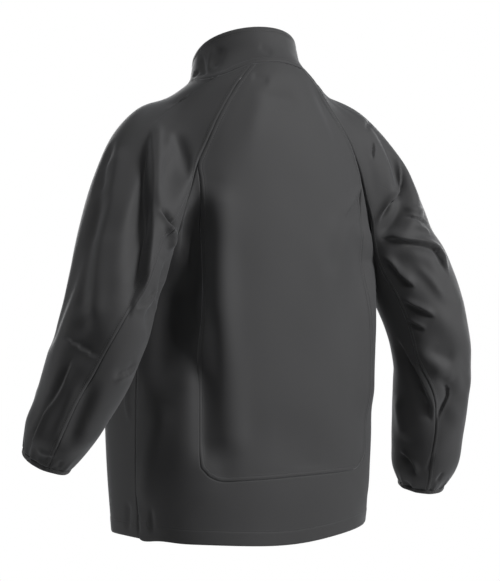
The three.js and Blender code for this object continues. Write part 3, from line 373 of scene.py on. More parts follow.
def outer_sheet(node):
    """A cloth solid's outer face as rows by columns of points, and 1 if rows cross columns outwards, or -1."""
    points, triangles = merged(node)
    face = outer_face(points, triangles, WALLS.get(node, WALL))
    count = np.bincount(face.ravel(), minlength=len(points))
    edges, beyond = {}, {}
    for tri in face:
        for k in range(3):
            pair = frozenset((tri[k], tri[(k + 1) % 3]))
            edges[pair] = edges.get(pair, 0) + 1
            beyond.setdefault(pair, set()).add(tri[(k + 2) % 3])
    rim = {}
    for pair, times in edges.items():
        if times == 1:
            a, b = pair
            rim.setdefault(a, []).append(b)
            rim.setdefault(b, []).append(a)
    low, high = points.min(0), points.max(0)
    first_hint, down_hint = (low + (high - low) * np.array(part) for part in SHEETS[node])
    doubles = [v for v in rim if count[v] == 2]
    start = min(doubles, key=lambda v: np.linalg.norm(points[v] - first_hint))

    def walk(second):
        path = [start, second]
        while count[path[-1]] != 1:
            path.append(next(v for v in rim[path[-1]] if v != path[-2]))
        return path

    walks = (walk(v) for v in rim[start])
    down, across = sorted(walks, key=lambda path: np.linalg.norm(points[path[-1]] - down_hint))
    grid = np.zeros((len(down), len(across)), int)
    grid[:, 0], grid[0, :] = down, across
    for r in range(1, len(down)):
        for c in range(1, len(across)):
            a, b, d = grid[r - 1, c - 1], grid[r, c - 1], grid[r - 1, c]
            grid[r, c] = (beyond[frozenset((a, b))] & beyond[frozenset((a, d))]).pop()
    tri = next(t for t in face if {grid[0, 0], grid[1, 0], grid[1, 1]} == set(t))
    out = np.cross(points[tri[1]] - points[tri[0]], points[tri[2]] - points[tri[0]])
    sheet = points[grid]
    cross = np.cross(sheet[1, 0] - sheet[0, 0], sheet[0, 1] - sheet[0, 0])
    return sheet, 1 if cross.dot(out) > 0 else -1


def through(points, places):
    """A smooth curve through points along the first axis, read at places."""
    n = len(points)
    flat = points.reshape(n, -1)
    matrix = np.eye(n)
    right = np.zeros_like(flat)
    for i in range(1, n - 1):
        matrix[i, i - 1:i + 2] = 1, 4, 1
        right[i] = 6 * (flat[i - 1] - 2 * flat[i] + flat[i + 1])
    bend = np.linalg.solve(matrix, right)
    i = np.clip(np.floor(places).astype(int), 0, n - 2)
    t = (places - i)[:, None]
    s = 1 - t
    value = s * flat[i] + t * flat[i + 1] + ((s ** 3 - s) * bend[i] + (t ** 3 - t) * bend[i + 1]) / 6
    return value.reshape(len(places), *points.shape[1:])


def steps_between(lengths, spacing, edge):
    """Places along a sheet's rows or columns, close together at both edges and even in between."""
    total = np.concatenate([[0], np.cumsum(lengths)])
    whole = total[-1]
    count = max(int(round(whole / spacing)), 4)
    at = np.linspace(0, whole, count + 1)
    near = np.array(edge)
    clear = near[-1] + spacing * 0.5
    at = np.concatenate([[0], near, at[(at > clear) & (at < whole - near[-1] - spacing * 0.5)],
                         whole - near[::-1], [whole]])
    return np.interp(at, total, np.arange(len(total)))


plain = {node: outer_sheet(node) for node in SHEETS if node not in TAPES}


# Places on the cloth, by looking at it

def view_tree(nodes):
    """The plain cloth of some pieces, to look at from outside, in metres."""
    points, faces = [], []
    for node in nodes:
        sheet, sign = plain[node]
        rows, columns = sheet.shape[:2]
        base = len(points)
        points.extend(Vector(p * MM) for p in sheet.reshape(-1, 3))
        for r in range(rows - 1):
            for c in range(columns - 1):
                a = base + r * columns + c
                quad = (a, a + columns, a + columns + 1, a + 1)
                faces.append(quad if sign > 0 else quad[::-1])
    return BVHTree.FromPolygons(points, faces)


BODY = ("back_panel", "back_surround", "front_left", "front_right")
LEFT = ("sleeve_top_left", "sleeve_under_left")
RIGHT = ("sleeve_top_right", "sleeve_under_right")
COLLAR = ("collar",)
trees = {group: view_tree(group) for group in (BODY, LEFT, RIGHT, COLLAR)}


def seen(group, view, across, up):
    """The place on a group of pieces that a view shows, by pixels of the photograph or by millimetres."""
    if view == "photo":
        origin = camera_place
        ray = (-towards * FOCAL_PIXELS + camera_right * (across - PHOTO_WIDTH / 2)
               - camera_up * (up - PHOTO_HEIGHT / 2)).normalized()
    elif view == "front":
        origin, ray = Vector((across * MM, -1, up * MM)), Vector((0, 1, 0))
    else:
        side = 1 if view == "left" else -1
        origin, ray = Vector((side, across * MM, up * MM)), Vector((-side, 0, 0))
    hit, out, *_ = trees[group].ray_cast(origin, ray)
    return None if hit is None or out.dot(ray) > 0 else np.array(hit) / MM


def smooth(x, low, high):
    t = np.clip((x - low) / (high - low), 0, 1)
    return t * t * (3 - 2 * t)


# Creases and soft folds, by the pieces that they are on and the view that shows them: the route, then in
# millimetres the width, the height (a trough is below zero) and, for some, the lip. With a lip the cloth on one
# side stands over the other: the high side is on the left of the route where the lip is above zero, and on its
# right where it is below
CREASES = {
    (LEFT, "photo"): [  # left sleeve, back
        ([(150, 126), (149.5, 165), (149.5, 200), (149, 232), (146, 260), (142, 284), (134, 302),
          (128, 326)], 24, -13, 6),
        ([(158, 118), (158, 160), (158, 196), (164, 218)], 7, 4),
        ([(122, 145), (113, 192), (102, 244), (96, 299), (92, 330)], 12, 5),
        ([(106, 164), (95, 215), (85, 270), (80, 318)], 10, -4),
        ([(116, 138), (107, 157), (100, 178), (96, 200)], 8, -5),
        ([(172, 126), (180, 146), (186, 165), (188, 186)], 10, -5),
        ([(158, 210), (165, 218), (171, 227), (175, 236)], 9, -10, -4),
        ([(164, 224), (170, 232), (172, 240), (169, 252)], 7, 8),
        ([(170, 250), (167, 272), (163, 292), (155, 312), (143, 336)], 18, -12),
        ([(158, 288), (148, 302), (134, 308)], 12, -4, 3),
        ([(62, 335.5), (75, 343.5), (88, 351.5), (101, 359.5)], 8, -2.4, -1.6),
        ([(137, 364), (126, 373), (112, 380)], 12, -4, 3),
        ([(74, 356), (64, 382), (54, 400), (45.5, 411), (38.5, 428), (33, 442), (30, 453)], 9, -4, 4),
        ([(80, 372), (68, 398), (58, 424), (48, 446)], 12, 5),
        ([(96, 376), (86, 402), (76, 428), (66, 452)], 12, -6),
        ([(36, 448), (46, 454), (58, 455)], 5, 2),
        ([(36, 463), (46, 458), (54, 455)], 4, -1.6),
        ([(29.5, 462), (32, 467), (35, 472)], 2.5, -1.8),
        ([(62, 460), (58, 468), (55, 473)], 3, -1.6),
    ],
    (RIGHT, "photo"): [  # right sleeve, back
        ([(369.7, 121), (367.5, 126), (365.5, 132)], 3.6, -3),
        ([(374, 141), (374, 150), (373, 159)], 5, -3, 2),
        ([(392, 146), (398, 155), (400.5, 166), (401, 179), (397, 193), (391, 202), (382, 215),
          (379, 226)], 8, -5, -6),
        ([(379.6, 238.7), (396, 238.7), (409, 241), (422.6, 243.6), (432.5, 247), (439, 254),
          (444, 265), (449, 277)], 14, -6, 7),
        ([(380, 257), (389.5, 263.5), (401, 276.7), (416, 288)], 11, -5, 5),
        ([(402, 209), (414, 209.5), (428, 214)], 6, 3.5),
        ([(403, 216), (414, 217), (427, 222)], 4, -3, 1.5),
        ([(414, 224), (422, 228), (431, 235)], 5, 3),
        ([(412, 262), (432, 282), (448, 304)], 8, 3.5),
        ([(400, 299), (412, 305), (424, 311), (436, 318)], 9, -4, 5),
        ([(406, 319), (415, 324), (426, 330)], 7, -3, 3),
        ([(414, 340), (424, 356), (438, 366), (455, 370)], 11, 4),
        ([(426, 346), (440, 356), (456, 360)], 11, -3),
        ([(396, 336), (408, 357), (417, 374), (425, 392), (430, 405), (432, 425)], 17, -12, 5),
        ([(398, 392), (402, 420), (408, 444)], 16, 5),
        ([(418, 390), (424, 398), (428.5, 407)], 2.6, 3),
        ([(440, 384), (447, 386), (448.5, 394), (445, 403), (440, 415), (435.5, 426)], 6, -3, 0.8),
        ([(430, 368), (442, 374), (456, 378)], 9, 3),
        ([(399, 452), (407, 457), (413, 465), (417, 477)], 9, -6, 4),
        ([(434, 452), (430, 463), (427, 473)], 3.4, -1.6),
        ([(443, 471), (440, 476), (436.5, 482)], 3.2, -2.2),
        ([(404, 480), (410, 486), (416, 490)], 4, -2),
    ],
    (BODY, "photo"): [  # back and flanks
        ([(197, 180), (195, 230), (192, 280), (190, 330), (190, 390)], 25, -24),
        ([(178, 255), (174, 300), (167, 350), (158, 400)], 26, -14),
        ([(199, 300), (202, 350), (204, 400), (206, 450), (212, 478)], 17, -8),
        ([(213, 180), (216, 240), (220, 300), (226, 380), (230, 460)], 22, 6),
        ([(366, 176), (367.5, 205), (367.5, 240), (368, 280), (368, 330), (367.5, 375),
          (366, 425)], 30, 10),
        ([(371, 163), (365.5, 179), (358, 195.5), (347, 219)], 13, -4, -2.6),
        ([(356, 200), (338, 246), (330, 280)], 15, -2),
        ([(250, 75), (260, 78), (270, 83)], 8, -1.6),
        ([(253, 92), (278, 99), (303, 103)], 12, -2),
        ([(131, 376), (127, 400), (131, 424)], 5, 2.5),
        ([(165, 400), (150, 460), (142, 510)], 16, 4),
        ([(138, 512), (138.5, 530), (139, 548)], 3, -2.6),
        ([(151, 506), (152, 522), (153, 537)], 3.6, -3),
        ([(129, 500), (128, 520), (128, 540)], 6, -3),
    ],
    (COLLAR, "photo"): [  # collar
        ([(202, 52), (202, 64), (205, 80)], 6, -5),
        ([(196, 70), (195.5, 76), (195, 83)], 8, -5),
        ([(214, 45), (211, 58), (208, 72)], 5, 2.6),
        ([(223, 46), (219, 58), (214, 70)], 7, -2.6),
        ([(258, 46), (266, 50), (273, 55)], 7, -1.4),
    ],
    (LEFT, "front"): [  # left sleeve, front and outside
        ([(150, -150), (190, -240), (235, -330)], 20, -7, 6),
        ([(176, -110), (232, -200), (270, -300)], 14, 5),
        ([(232, -326), (275, -350), (318, -352)], 14, -5, 6),
        ([(256, -388), (292, -402), (334, -394)], 14, -5, 5),
        ([(285, -440), (316, -452), (345, -446)], 12, -4, 3),
    ],
    (LEFT, "left"): [
        ([(60, -200), (70, -320), (40, -430)], 16, -5),
        ([(20, -460), (-10, -520), (-20, -570)], 10, 4),
    ],
    (RIGHT, "front"): [  # right sleeve, front and outside
        ([(-152, -150), (-196, -230), (-240, -310)], 20, -7, -6),
        ([(-178, -110), (-236, -190), (-276, -290)], 14, 5),
        ([(-230, -330), (-262, -356), (-308, -368)], 14, -5, -6),
        ([(-248, -400), (-284, -416), (-326, -412)], 14, -5, -5),
        ([(-272, -470), (-306, -486), (-340, -480)], 12, -4, -3),
    ],
    (RIGHT, "right"): [
        ([(80, -200), (110, -330), (90, -450)], 16, -5),
        ([(60, -520), (40, -600), (36, -640)], 10, 4),
    ],
    (BODY, "front"): [  # fronts
        ([(176, -236), (150, -292), (112, -352), (86, -410)], 30, -5, 4),
        ([(-176, -232), (-148, -290), (-108, -356), (-80, -420)], 32, -5, -4),
        ([(182, -330), (166, -420), (156, -540), (160, -640)], 26, -6),
        ([(-182, -340), (-170, -440), (-160, -560), (-166, -650)], 28, -6),
        ([(112, -420), (92, -560), (98, -690)], 26, 4),
        ([(-104, -410), (-96, -540), (-108, -690)], 26, 4),
        ([(108, -120), (84, -186), (52, -240)], 24, -3, 2),
        ([(-108, -124), (-80, -192), (-46, -250)], 24, -3, -2),
        ([(60, -330), (48, -420), (56, -520)], 24, -2.4),
        ([(-58, -360), (-48, -460), (-60, -560)], 24, -2.2),
    ],
}


ROUTE_STEPS = 6  # places looked at from one point of a route to the next


def seen_line(group, view, route):
    """A route as a smooth line on the cloth, without the places where its view misses the cloth."""
    last = len(route) - 1
    course = through(np.array(route, float), np.linspace(0, last, ROUTE_STEPS * last + 1))
    places = [seen(group, view, *place) for place in course]
    return np.array([place for place in places if place is not None])


def along_line(points, normals, line):
    """Each point's distance from a line, how far along the line it is from 0 to 1, and on which side."""
    a, b = line[:-1], line[1:]
    step = b - a
    lengths = np.linalg.norm(step, axis=1)
    start = np.concatenate([[0], np.cumsum(lengths)])[:-1]
    best = np.full(len(points), np.inf)
    along, side = np.zeros(len(points)), np.ones(len(points))
    for k in range(len(a)):
        gap = points - a[k]
        t = np.clip(gap @ step[k] / lengths[k] ** 2, 0, 1)
        off = gap - t[:, None] * step[k]
        distance = np.linalg.norm(off, axis=1)
        near = distance < best
        best[near] = distance[near]
        along[near] = start[k] + t[near] * lengths[k]
        turn = np.cross(normals, step[k])
        side[near] = np.sign((turn * off).sum(1))[near]
    return best, along / (start[-1] + lengths[-1]), side


FOLD_END, FOLD_RISE = 34, 6  # what a fold takes to come up at each end: a length, or times its depth
FOLD_END_SHARE = 0.3  # and the most of its whole length
FOLD_STEEP = 0.22  # half the width of a fold's drop from its high side to its low one, times the drop
LIP_WIDTH = 0.8  # how wide the high side of a fold is, times its low side


def crease_height(node, points, normals):
    """How far the creases lift each point of a piece, in millimetres."""
    total = np.zeros(len(points))
    for group, line, width, height, lip in creases:
        if node not in group:
            continue
        reach = 4 * width
        near = np.all((points > line.min(0) - reach) & (points < line.max(0) + reach), axis=1)
        if not near.any():
            continue
        off, along, side = along_line(points[near], normals[near], line)
        whole = np.linalg.norm(np.diff(line, axis=0), axis=1).sum()
        end = min(FOLD_END_SHARE, max(FOLD_END, FOLD_RISE * abs(height)) / whole)
        fade = smooth(along, -0.001, end) * (1 - smooth(along, 1 - end, 1.001))
        if lip:
            beyond = off * side * np.sign(lip)  # above zero where the cloth stands high
            edge = FOLD_STEEP * (abs(height) + abs(lip))
            low = 1 - smooth(beyond, -edge, edge)
            shape = (height * low * np.exp(-(np.minimum(beyond, 0) / width) ** 2)
                     + abs(lip) * (1 - low) * np.exp(-(np.maximum(beyond, 0) / (LIP_WIDTH * width)) ** 2))
        else:
            shape = height * np.exp(-(off / width) ** 2)
        total[near] += fade * shape
    return total


creases = [(group, seen_line(group, view, route), width, height, lip[0] if lip else 0)
           for (group, view), folds in CREASES.items() for route, width, height, *lip in folds]
creases = [crease for crease in creases if len(crease[1]) > 2]


# Cloth pieces

EDGE_STEPS = (0.7, 1.5, 2.6, 4.2, 6.2)  # the closer rows of points along each edge, in from it
SPACING = {  # and between points elsewhere
    "sleeve_top_left": 2.3, "sleeve_top_right": 2.3, "sleeve_under_left": 2.6, "sleeve_under_right": 2.6,
    "collar": 2.2, "back_panel": 3.1, "back_surround": 3.1, "front_left": 3.4, "front_right": 3.4,
}
WRIST_ROWS = 6  # rows of a sleeve's solid from which the way out of its end is read
GATHERS = ((23, 0.4, 0.3), (14, 2.3, 0.4), (37, 1.1, 0.14))  # waves round the end, their turn and height
GATHER_FULL, GATHER_REACH = 4, 30  # how far in from the end the pleats are full, and where they are gone


def wrist_frame(side):
    """The middle of a sleeve's end, the way out of it, and two directions across it."""
    top, under = (plain[f"sleeve_{half}_{side}"][0] for half in ("top", "under"))
    middle = np.concatenate([top[-1], under[-1]]).mean(0)
    way = middle - np.concatenate([top[-WRIST_ROWS], under[-WRIST_ROWS]]).mean(0)
    way /= np.linalg.norm(way)
    across = np.cross(way, (0, 1, 0))
    across /= np.linalg.norm(across)
    return middle, way, across, np.cross(way, across)


def gather_height(node, points):
    """Small pleats that the elastic binding draws up at a sleeve's end."""
    if "sleeve" not in node:
        return 0
    middle, way, across, other = wrist_frame(node.split("_")[-1])
    off = points - middle
    turn = np.arctan2(off @ other, off @ across)
    depth = -(off @ way)
    waves = sum(height * np.sin(count * turn + phase) for count, phase, height in GATHERS)
    uneven = 0.7 + 0.3 * np.sin(3 * turn + 0.8)
    return waves * uneven * (1 - smooth(depth, GATHER_FULL, GATHER_REACH))


def distance_to(points, line):
    """The shortest distance of each point from a line."""
    best = np.full(len(points), np.inf)
    for a, b in zip(line[:-1], line[1:]):
        step = b - a
        gap = points - a
        t = np.clip(gap @ step / max(step @ step, 1e-9), 0, 1)
        best = np.minimum(best, np.linalg.norm(gap - t[:, None] * step, axis=1))
    return best


def normals_of(sheet, sign):
    """Which way is out at each point of a sheet."""
    down = np.gradient(sheet, axis=0)
    across = np.gradient(sheet, axis=1)
    normal = np.cross(down, across) * sign
    return normal / np.maximum(np.linalg.norm(normal, axis=2, keepdims=True), 1e-9)


# Slow unevenness of cloth that hangs: waves along x, y and z, their turn and their height
RUMPLE = ((0.031, 0.013, 0.022, 0.4, 0.35), (-0.017, 0.029, 0.035, 2.1, 0.3),
          (0.052, -0.041, 0.019, 4.0, 0.16), (0.011, 0.055, -0.047, 1.2, 0.14),
          (-0.063, 0.037, 0.058, 5.1, 0.08))


def rumple(points):
    return sum(height * np.sin(points @ np.array((x, y, z)) + turn) for x, y, z, turn, height in RUMPLE)


def make_mesh(name, points, faces, finishes):
    """A piece from points in millimetres and faces that all have the same number of corners."""
    mesh = bpy.data.meshes.new(name)
    mesh.vertices.add(len(points))
    mesh.vertices.foreach_set("co", (points * MM).astype(np.float32).ravel())
    mesh.loops.add(faces.size)
    mesh.loops.foreach_set("vertex_index", faces.astype(np.int32).ravel())
    mesh.polygons.add(len(faces))
    mesh.polygons.foreach_set("loop_start", np.arange(0, faces.size, faces.shape[1], dtype=np.int32))
    mesh.update(calc_edges=True)
    mesh.polygons.foreach_set("use_smooth", np.ones(len(mesh.polygons), bool))
    mesh.validate()
    piece = bpy.data.objects.new(name, mesh)
    bpy.context.scene.collection.objects.link(piece)
    for finish in finishes:
        mesh.materials.append(finish)
    return piece


def grid_quads(rows, columns, base, flip, closed):
    """The faces between rows and columns of points, also from the last column to the first one if closed."""
    r, c = np.meshgrid(np.arange(rows - 1), np.arange(columns if closed else columns - 1), indexing="ij")
    this, below, beside = base + r * columns, base + (r + 1) * columns, (c + 1) % columns
    quads = np.stack([this + c, below + c, below + beside, this + beside], -1).reshape(-1, 4)
    return quads[:, ::-1] if flip else quads


def shell(name, outer, normals, sign, thick, finishes, closed=False):
    """A sheet with a wall: the outer face, the inner face and the turned edges between them."""
    rows, columns = outer.shape[:2]
    count = rows * columns
    inner = outer - normals * thick
    points = np.concatenate([outer.reshape(-1, 3), inner.reshape(-1, 3)])
    flip = sign < 0
    faces = [grid_quads(rows, columns, 0, flip, closed), grid_quads(rows, columns, count, not flip, closed)]
    index = np.arange(count).reshape(rows, columns)
    if closed:
        loops = [np.append(index[0], index[0, 0])[::-1], np.append(index[-1], index[-1, 0])]
    else:
        loops = [np.concatenate([index[:, 0], index[-1, 1:], index[::-1, -1][1:], index[0, ::-1][1:]])]
    for loop in loops:
        a, b = loop[:-1], loop[1:]
        rim = np.stack([a, a + count, b + count, b], -1)
        faces.append(rim[:, ::-1] if flip else rim)
    quads = np.concatenate(faces)
    piece = make_mesh(name, points, quads, finishes)
    inside = np.zeros(len(quads), np.int32)
    inside[len(faces[0]):len(faces[0]) + len(faces[1])] = 1
    piece.data.polygons.foreach_set("material_index", inside)
    return piece


def carry(piece, name, values):
    """Gives a piece's points a number for its material."""
    attribute = piece.data.attributes.new(name, "FLOAT", "POINT")
    attribute.data.foreach_set("value", values.astype(np.float32).ravel())


def dense(sheet, spacing):
    """A sheet with many more rows and columns, curved smoothly through the ones that it has."""
    across = np.linalg.norm(np.diff(sheet, axis=1), axis=2).mean(0)
    down = np.linalg.norm(np.diff(sheet, axis=0), axis=2).mean(1)
    rows = through(sheet, steps_between(down, spacing, EDGE_STEPS))
    return through(rows.swapaxes(0, 1), steps_between(across, spacing, EDGE_STEPS)).swapaxes(0, 1)


def let_out(sheet, length):
    """Moves the four edges of a sheet outwards in its own surface."""
    grown = sheet.copy()
    for edge, next_in in ((np.s_[0], np.s_[1]), (np.s_[-1], np.s_[-2]),
                          (np.s_[:, 0], np.s_[:, 1]), (np.s_[:, -1], np.s_[:, -2])):
        way = sheet[edge] - sheet[next_in]
        grown[edge] += way / np.linalg.norm(way, axis=1, keepdims=True) * length
    return grown


FROM_EDGE = (lambda a: a, lambda a: a[::-1], lambda a: a.swapaxes(0, 1), lambda a: a[:, ::-1].swapaxes(0, 1))
STITCHES_STOP = 1.5  # how far from the edges that it meets a line of stitches ends


def inset_line(outer, normals, reaches, k, inset):
    """The stitching line that runs a distance inside one edge of a sheet: its points and which way is out."""
    turned = FROM_EDGE[k]
    points, out, far = turned(outer), turned(normals), turned(reaches[k].reshape(outer.shape[:2]))
    lines = np.arange(points.shape[1])
    i = np.argmax(far > inset, axis=0)
    i = np.clip(i, 1, None)
    low, high = far[i - 1, lines], far[i, lines]
    t = np.clip((inset - low) / np.maximum(high - low, 1e-6), 0, 1)[:, None]
    place = points[i - 1, lines] * (1 - t) + points[i, lines] * t
    way = out[i - 1, lines] * (1 - t) + out[i, lines] * t
    keep = np.ones(len(lines), bool)
    for other, reach in enumerate(reaches):
        if other // 2 != k // 2:
            near = turned(reach.reshape(outer.shape[:2]))
            keep &= near[i, lines] > STITCHES_STOP
    return place[keep], way[keep] / np.linalg.norm(way[keep], axis=1, keepdims=True)


STITCH, STITCH_GAP, THREAD = 2.3, 0.7, 0.34  # length, space between two and half the thread's width
STITCH_SUNK = 0.25  # how far a stitch's ends are under the cloth


def stitches(lines):
    """Short lock stitches along lines, each one sunk into the cloth at its ends."""
    points, faces = [], []
    for place, out in lines:
        run = np.concatenate([[0], np.cumsum(np.linalg.norm(np.diff(place, axis=0), axis=1))])
        count = int(run[-1] / (STITCH + STITCH_GAP))
        if count < 2:
            continue
        starts = np.arange(count) * (run[-1] / count)

        def at(where):
            return (np.stack([np.interp(where, run, place[:, k]) for k in range(3)], 1),
                    np.stack([np.interp(where, run, out[:, k]) for k in range(3)], 1))

        first, up = at(starts)
        last, _ = at(starts + STITCH)
        way = (last - first) / np.maximum(np.linalg.norm(last - first, axis=1, keepdims=True), 1e-6)
        side = np.cross(way, up)
        base = sum(len(p) for p in points)
        rings = [first - up * STITCH_SUNK]
        for part in (0.22, 0.78):
            middle = first + (last - first) * part
            rings += [middle + side * THREAD, middle + up * THREAD * 0.9, middle - side * THREAD,
                      middle - up * THREAD * 0.6]
        rings.append(last - up * STITCH_SUNK)
        points.append(np.stack(rings, 1).reshape(-1, 3))
        a = base + np.arange(count)[:, None] * 10
        for k in range(4):
            n = (k + 1) % 4
            faces += [a + [0, 1 + n, 1 + k], a + [1 + k, 1 + n, 5 + n],
                      a + [1 + k, 5 + n, 5 + k], a + [9, 5 + k, 5 + n]]
    return np.concatenate(points), np.concatenate(faces)


SEAM_CLOSE = 0.13  # how far each edge reaches out to meet its neighbour at a seam
SEAM_DIP, SEAM_DIP_WIDTH = 0.8, 1.1  # the groove along each seam
WELT = 0.6  # how far the folded seam allowance lifts the cloth between a seam and its stitching
TUCK, TUCK_DROP = 2.4, 1.1  # how far the surround's inner edge runs in under the back panel's, and how low
HELD_FROM, HELD_TO = -1, 16  # where folds begin to rise and where they are whole, from a seam that holds them
HEM_STITCH = 21
HEM_WELT_TOP, HEM_SEWN_TOP = -677, -699  # the surround's outer edge is hem below these, and side seam above
FAR = 99.0  # stands for any distance that no material shows

# Which edges of a sheet are topstitched and how far in, in millimetres: inside the first row, the last row,
# the first column and the last column. Zero is a plain seam.
TOPSTITCH = {
    "back_panel": (0, 5.5, 5.5, 5.5),
    "back_surround": (0, 0, 0, HEM_STITCH),
    "front_left": (0, HEM_STITCH, 0, 7),
    "front_right": (0, HEM_STITCH, 0, 7),
    "collar": (8, 7, 7, 7),
    "sleeve_top_left": (5, 0, 0, 5),
    "sleeve_top_right": (5, 0, 0, 5),
    "sleeve_under_left": (5, 0, 0, 0),
    "sleeve_under_right": (5, 0, 0, 0),
}

# Seams and darts inside a sheet, by where the photograph shows them
INNER_SEAMS = [
    (LEFT, [(188, 189.5), (178, 193), (163, 201)]),
    (LEFT, [(64, 336.5), (76, 344), (88, 351.5), (101, 359.5)]),
    (RIGHT, [(378, 185), (387, 189), (394.5, 194)]),
    (RIGHT, [(462, 330), (448, 338), (432, 346), (424, 350)]),
]
inner_seams = [(group, seen_line(group, "photo", route)) for group, route in INNER_SEAMS]


def held_lines(node):
    """The seams between groups of pieces, which folds leave alone, alike on both sides of each seam."""
    collar = plain["collar"][0]
    edges = [collar[0], collar[-1], collar[:, 0], collar[:, -1]]
    around = sorted(edges, key=lambda edge: edge[:, 2].mean())[:3]
    if node == "collar":
        return around
    sides = [node.split("_")[-1]] if "sleeve" in node else ["left", "right"]
    lines = [plain[f"sleeve_{half}_{side}"][0][0] for half in ("top", "under") for side in sides]
    if "sleeve" not in node:
        lines += [around[0]] + [plain[front][0][:, -1] for front in ("front_left", "front_right")]
    return lines


def cloth_height(node, points, normals, to_edges):
    """How far each point of a piece stands over its solid: folds, welts, seam grooves and pleats."""
    height = crease_height(node, points, normals) + rumple(points)
    to_held = np.min([distance_to(points, line) for line in held_lines(node)], axis=0)
    height *= smooth(to_held, HELD_FROM, HELD_TO)
    welt = np.max([WELT * (1 - smooth(far, inset - 1, inset + 1)) if inset else 0 * far
                   for inset, far in zip(TOPSTITCH[node], to_edges)], axis=0)
    height += np.where(points[:, 2] < HEM_WELT_TOP, welt, 0) if node == "back_surround" else welt
    height -= SEAM_DIP * np.exp(-(np.min(to_edges, axis=0) / SEAM_DIP_WIDTH) ** 2)
    return height + gather_height(node, points)


def sewing_lines(node, points, outer, outer_normals, to_edges):
    """A piece's lines of stitches, and how far each of its points is from one."""
    sewn = np.full(len(points), FAR)
    lines = []
    for k, (inset, far) in enumerate(zip(TOPSTITCH[node], to_edges)):
        if not inset:
            continue
        line = inset_line(outer, outer_normals, to_edges, k, inset)
        off = far - inset
        if node == "back_surround":
            low = line[0][:, 2] < HEM_SEWN_TOP
            line = line[0][low], line[1][low]
            off = np.where(points[:, 2] < HEM_WELT_TOP, off, FAR)
        sewn = np.where(np.abs(off) < np.abs(sewn), off, sewn)
        lines.append(line)
    return lines, sewn


cloth = {}  # each piece, its outer face, and the pieces sewn on it
for node, (sheet, sign) in plain.items():
    fine = dense(sheet, SPACING[node])
    normals = normals_of(fine, sign)
    flat, flat_normals = fine.reshape(-1, 3), normals.reshape(-1, 3)
    to_edges = [distance_to(flat, edge[::2]) for edge in (fine[0], fine[-1], fine[:, 0], fine[:, -1])]
    height = cloth_height(node, flat, flat_normals, to_edges)
    outer = let_out((flat + flat_normals * height[:, None]).reshape(fine.shape), SEAM_CLOSE)
    if node == "back_surround":
        way = outer[:, 0] - outer[:, 1]
        way /= np.linalg.norm(way, axis=1, keepdims=True)
        outer[:, 0] += TUCK * way - TUCK_DROP * normals[:, 0]
    outer_normals = normals_of(outer, sign)
    piece = shell("cloth_" + node, outer, outer_normals, sign, WALLS.get(node, WALL) * WALL_SHARE,
                  [cloth_finish, lining_finish])
    lines, sewn = sewing_lines(node, flat, outer, outer_normals, to_edges)
    seam = np.full(len(flat), FAR)
    for group, line in inner_seams:
        if node in group:
            seam = np.minimum(seam, distance_to(flat, line))
    carry(piece, "sewn", np.tile(sewn, 2))
    carry(piece, "line", np.tile(seam, 2))
    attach(piece, JACKET)
    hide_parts(node)
    sewing = make_mesh("stitches_" + node, *stitches(lines), [thread_finish])
    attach(sewing, JACKET)
    cloth[node] = [piece, outer, sewing]


# Elastic bindings at the sleeves' ends

CUFF_WALL = 2.6
CUFF_PROFILE = (  # how far out along the sleeve, and how far it stands over the sleeve's end there
    (0.1, -0.7), (0.5, -0.1), (1.4, 0.35), (3, 0.55), (5, 0.5), (6.6, 0.2), (7.5, -0.35), (8, -1.1),
)
CUFF_POINTS = 260
CUFF_EVEN = 9  # points each way over which the binding evens out the sleeve's pleats
CUFF_EVEN_FROM = 4  # and how far out it has done so
CUFF_PLEATS, CUFF_PLEATS_END = ((41, 0, 0.14), (29, 1.7, 0.12), (53, 0.6, 0.08)), 7
RIB = 1.5  # from one rib of the elastic to the next


def ring_of(side):
    """The end of a sleeve as one closed line of evenly spaced points."""
    top, under = (cloth[f"sleeve_{half}_{side}"][1][-1] for half in ("top", "under"))
    if np.linalg.norm(under[0] - top[-1]) > np.linalg.norm(under[-1] - top[-1]):
        under = under[::-1]
    line = np.concatenate([top[1:-1], under[1:-1], top[1:2]])
    run = np.concatenate([[0], np.cumsum(np.linalg.norm(np.diff(line, axis=0), axis=1))])
    at = np.linspace(0, run[-1], CUFF_POINTS, endpoint=False)
    return np.stack([np.interp(at, run, line[:, k]) for k in range(3)], 1), at


for side in ("left", "right"):
    ring, at = ring_of(side)
    middle, way, across, other = wrist_frame(side)
    along = np.roll(ring, -1, axis=0) - np.roll(ring, 1, axis=0)
    out = np.cross(along, way)
    out *= np.sign((out * (ring - middle)).sum())
    out /= np.linalg.norm(out, axis=1, keepdims=True)
    turn = at / (at[-1] + at[1]) * 2 * math.pi
    pleats = sum(height * np.sin(count * turn + phase) for count, phase, height in CUFF_PLEATS)
    even = sum(np.roll(ring, k, axis=0) for k in range(-CUFF_EVEN, CUFF_EVEN + 1)) / (2 * CUFF_EVEN + 1)
    outer = []
    for length, puff in CUFF_PROFILE:
        drawn = ring + (even - ring) * smooth(length, 0, CUFF_EVEN_FROM)
        pleat = pleats * math.sin(math.pi * min(length / CUFF_PLEATS_END, 1))
        outer.append(drawn + way * length + out * (puff + pleat)[:, None])
    outer = np.array(outer)
    normals = np.tile(out, (len(CUFF_PROFILE), 1, 1))
    sign = np.sign(np.dot(np.cross(outer[1, 0] - outer[0, 0], outer[0, 1] - outer[0, 0]), out[0]))
    cuff = shell("binding_" + side, outer, normals, sign, CUFF_WALL, [binding_finish] * 2, closed=True)
    lengths = np.tile([length for length, _ in CUFF_PROFILE], (CUFF_POINTS, 1)).T
    carry(cuff, "rib", np.tile(lengths.ravel() / RIB * 2 * math.pi, 2))
    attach(cuff, JACKET)
    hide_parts("cuff_" + side)
    cloth["sleeve_top_" + side].append(cuff)


# Zip

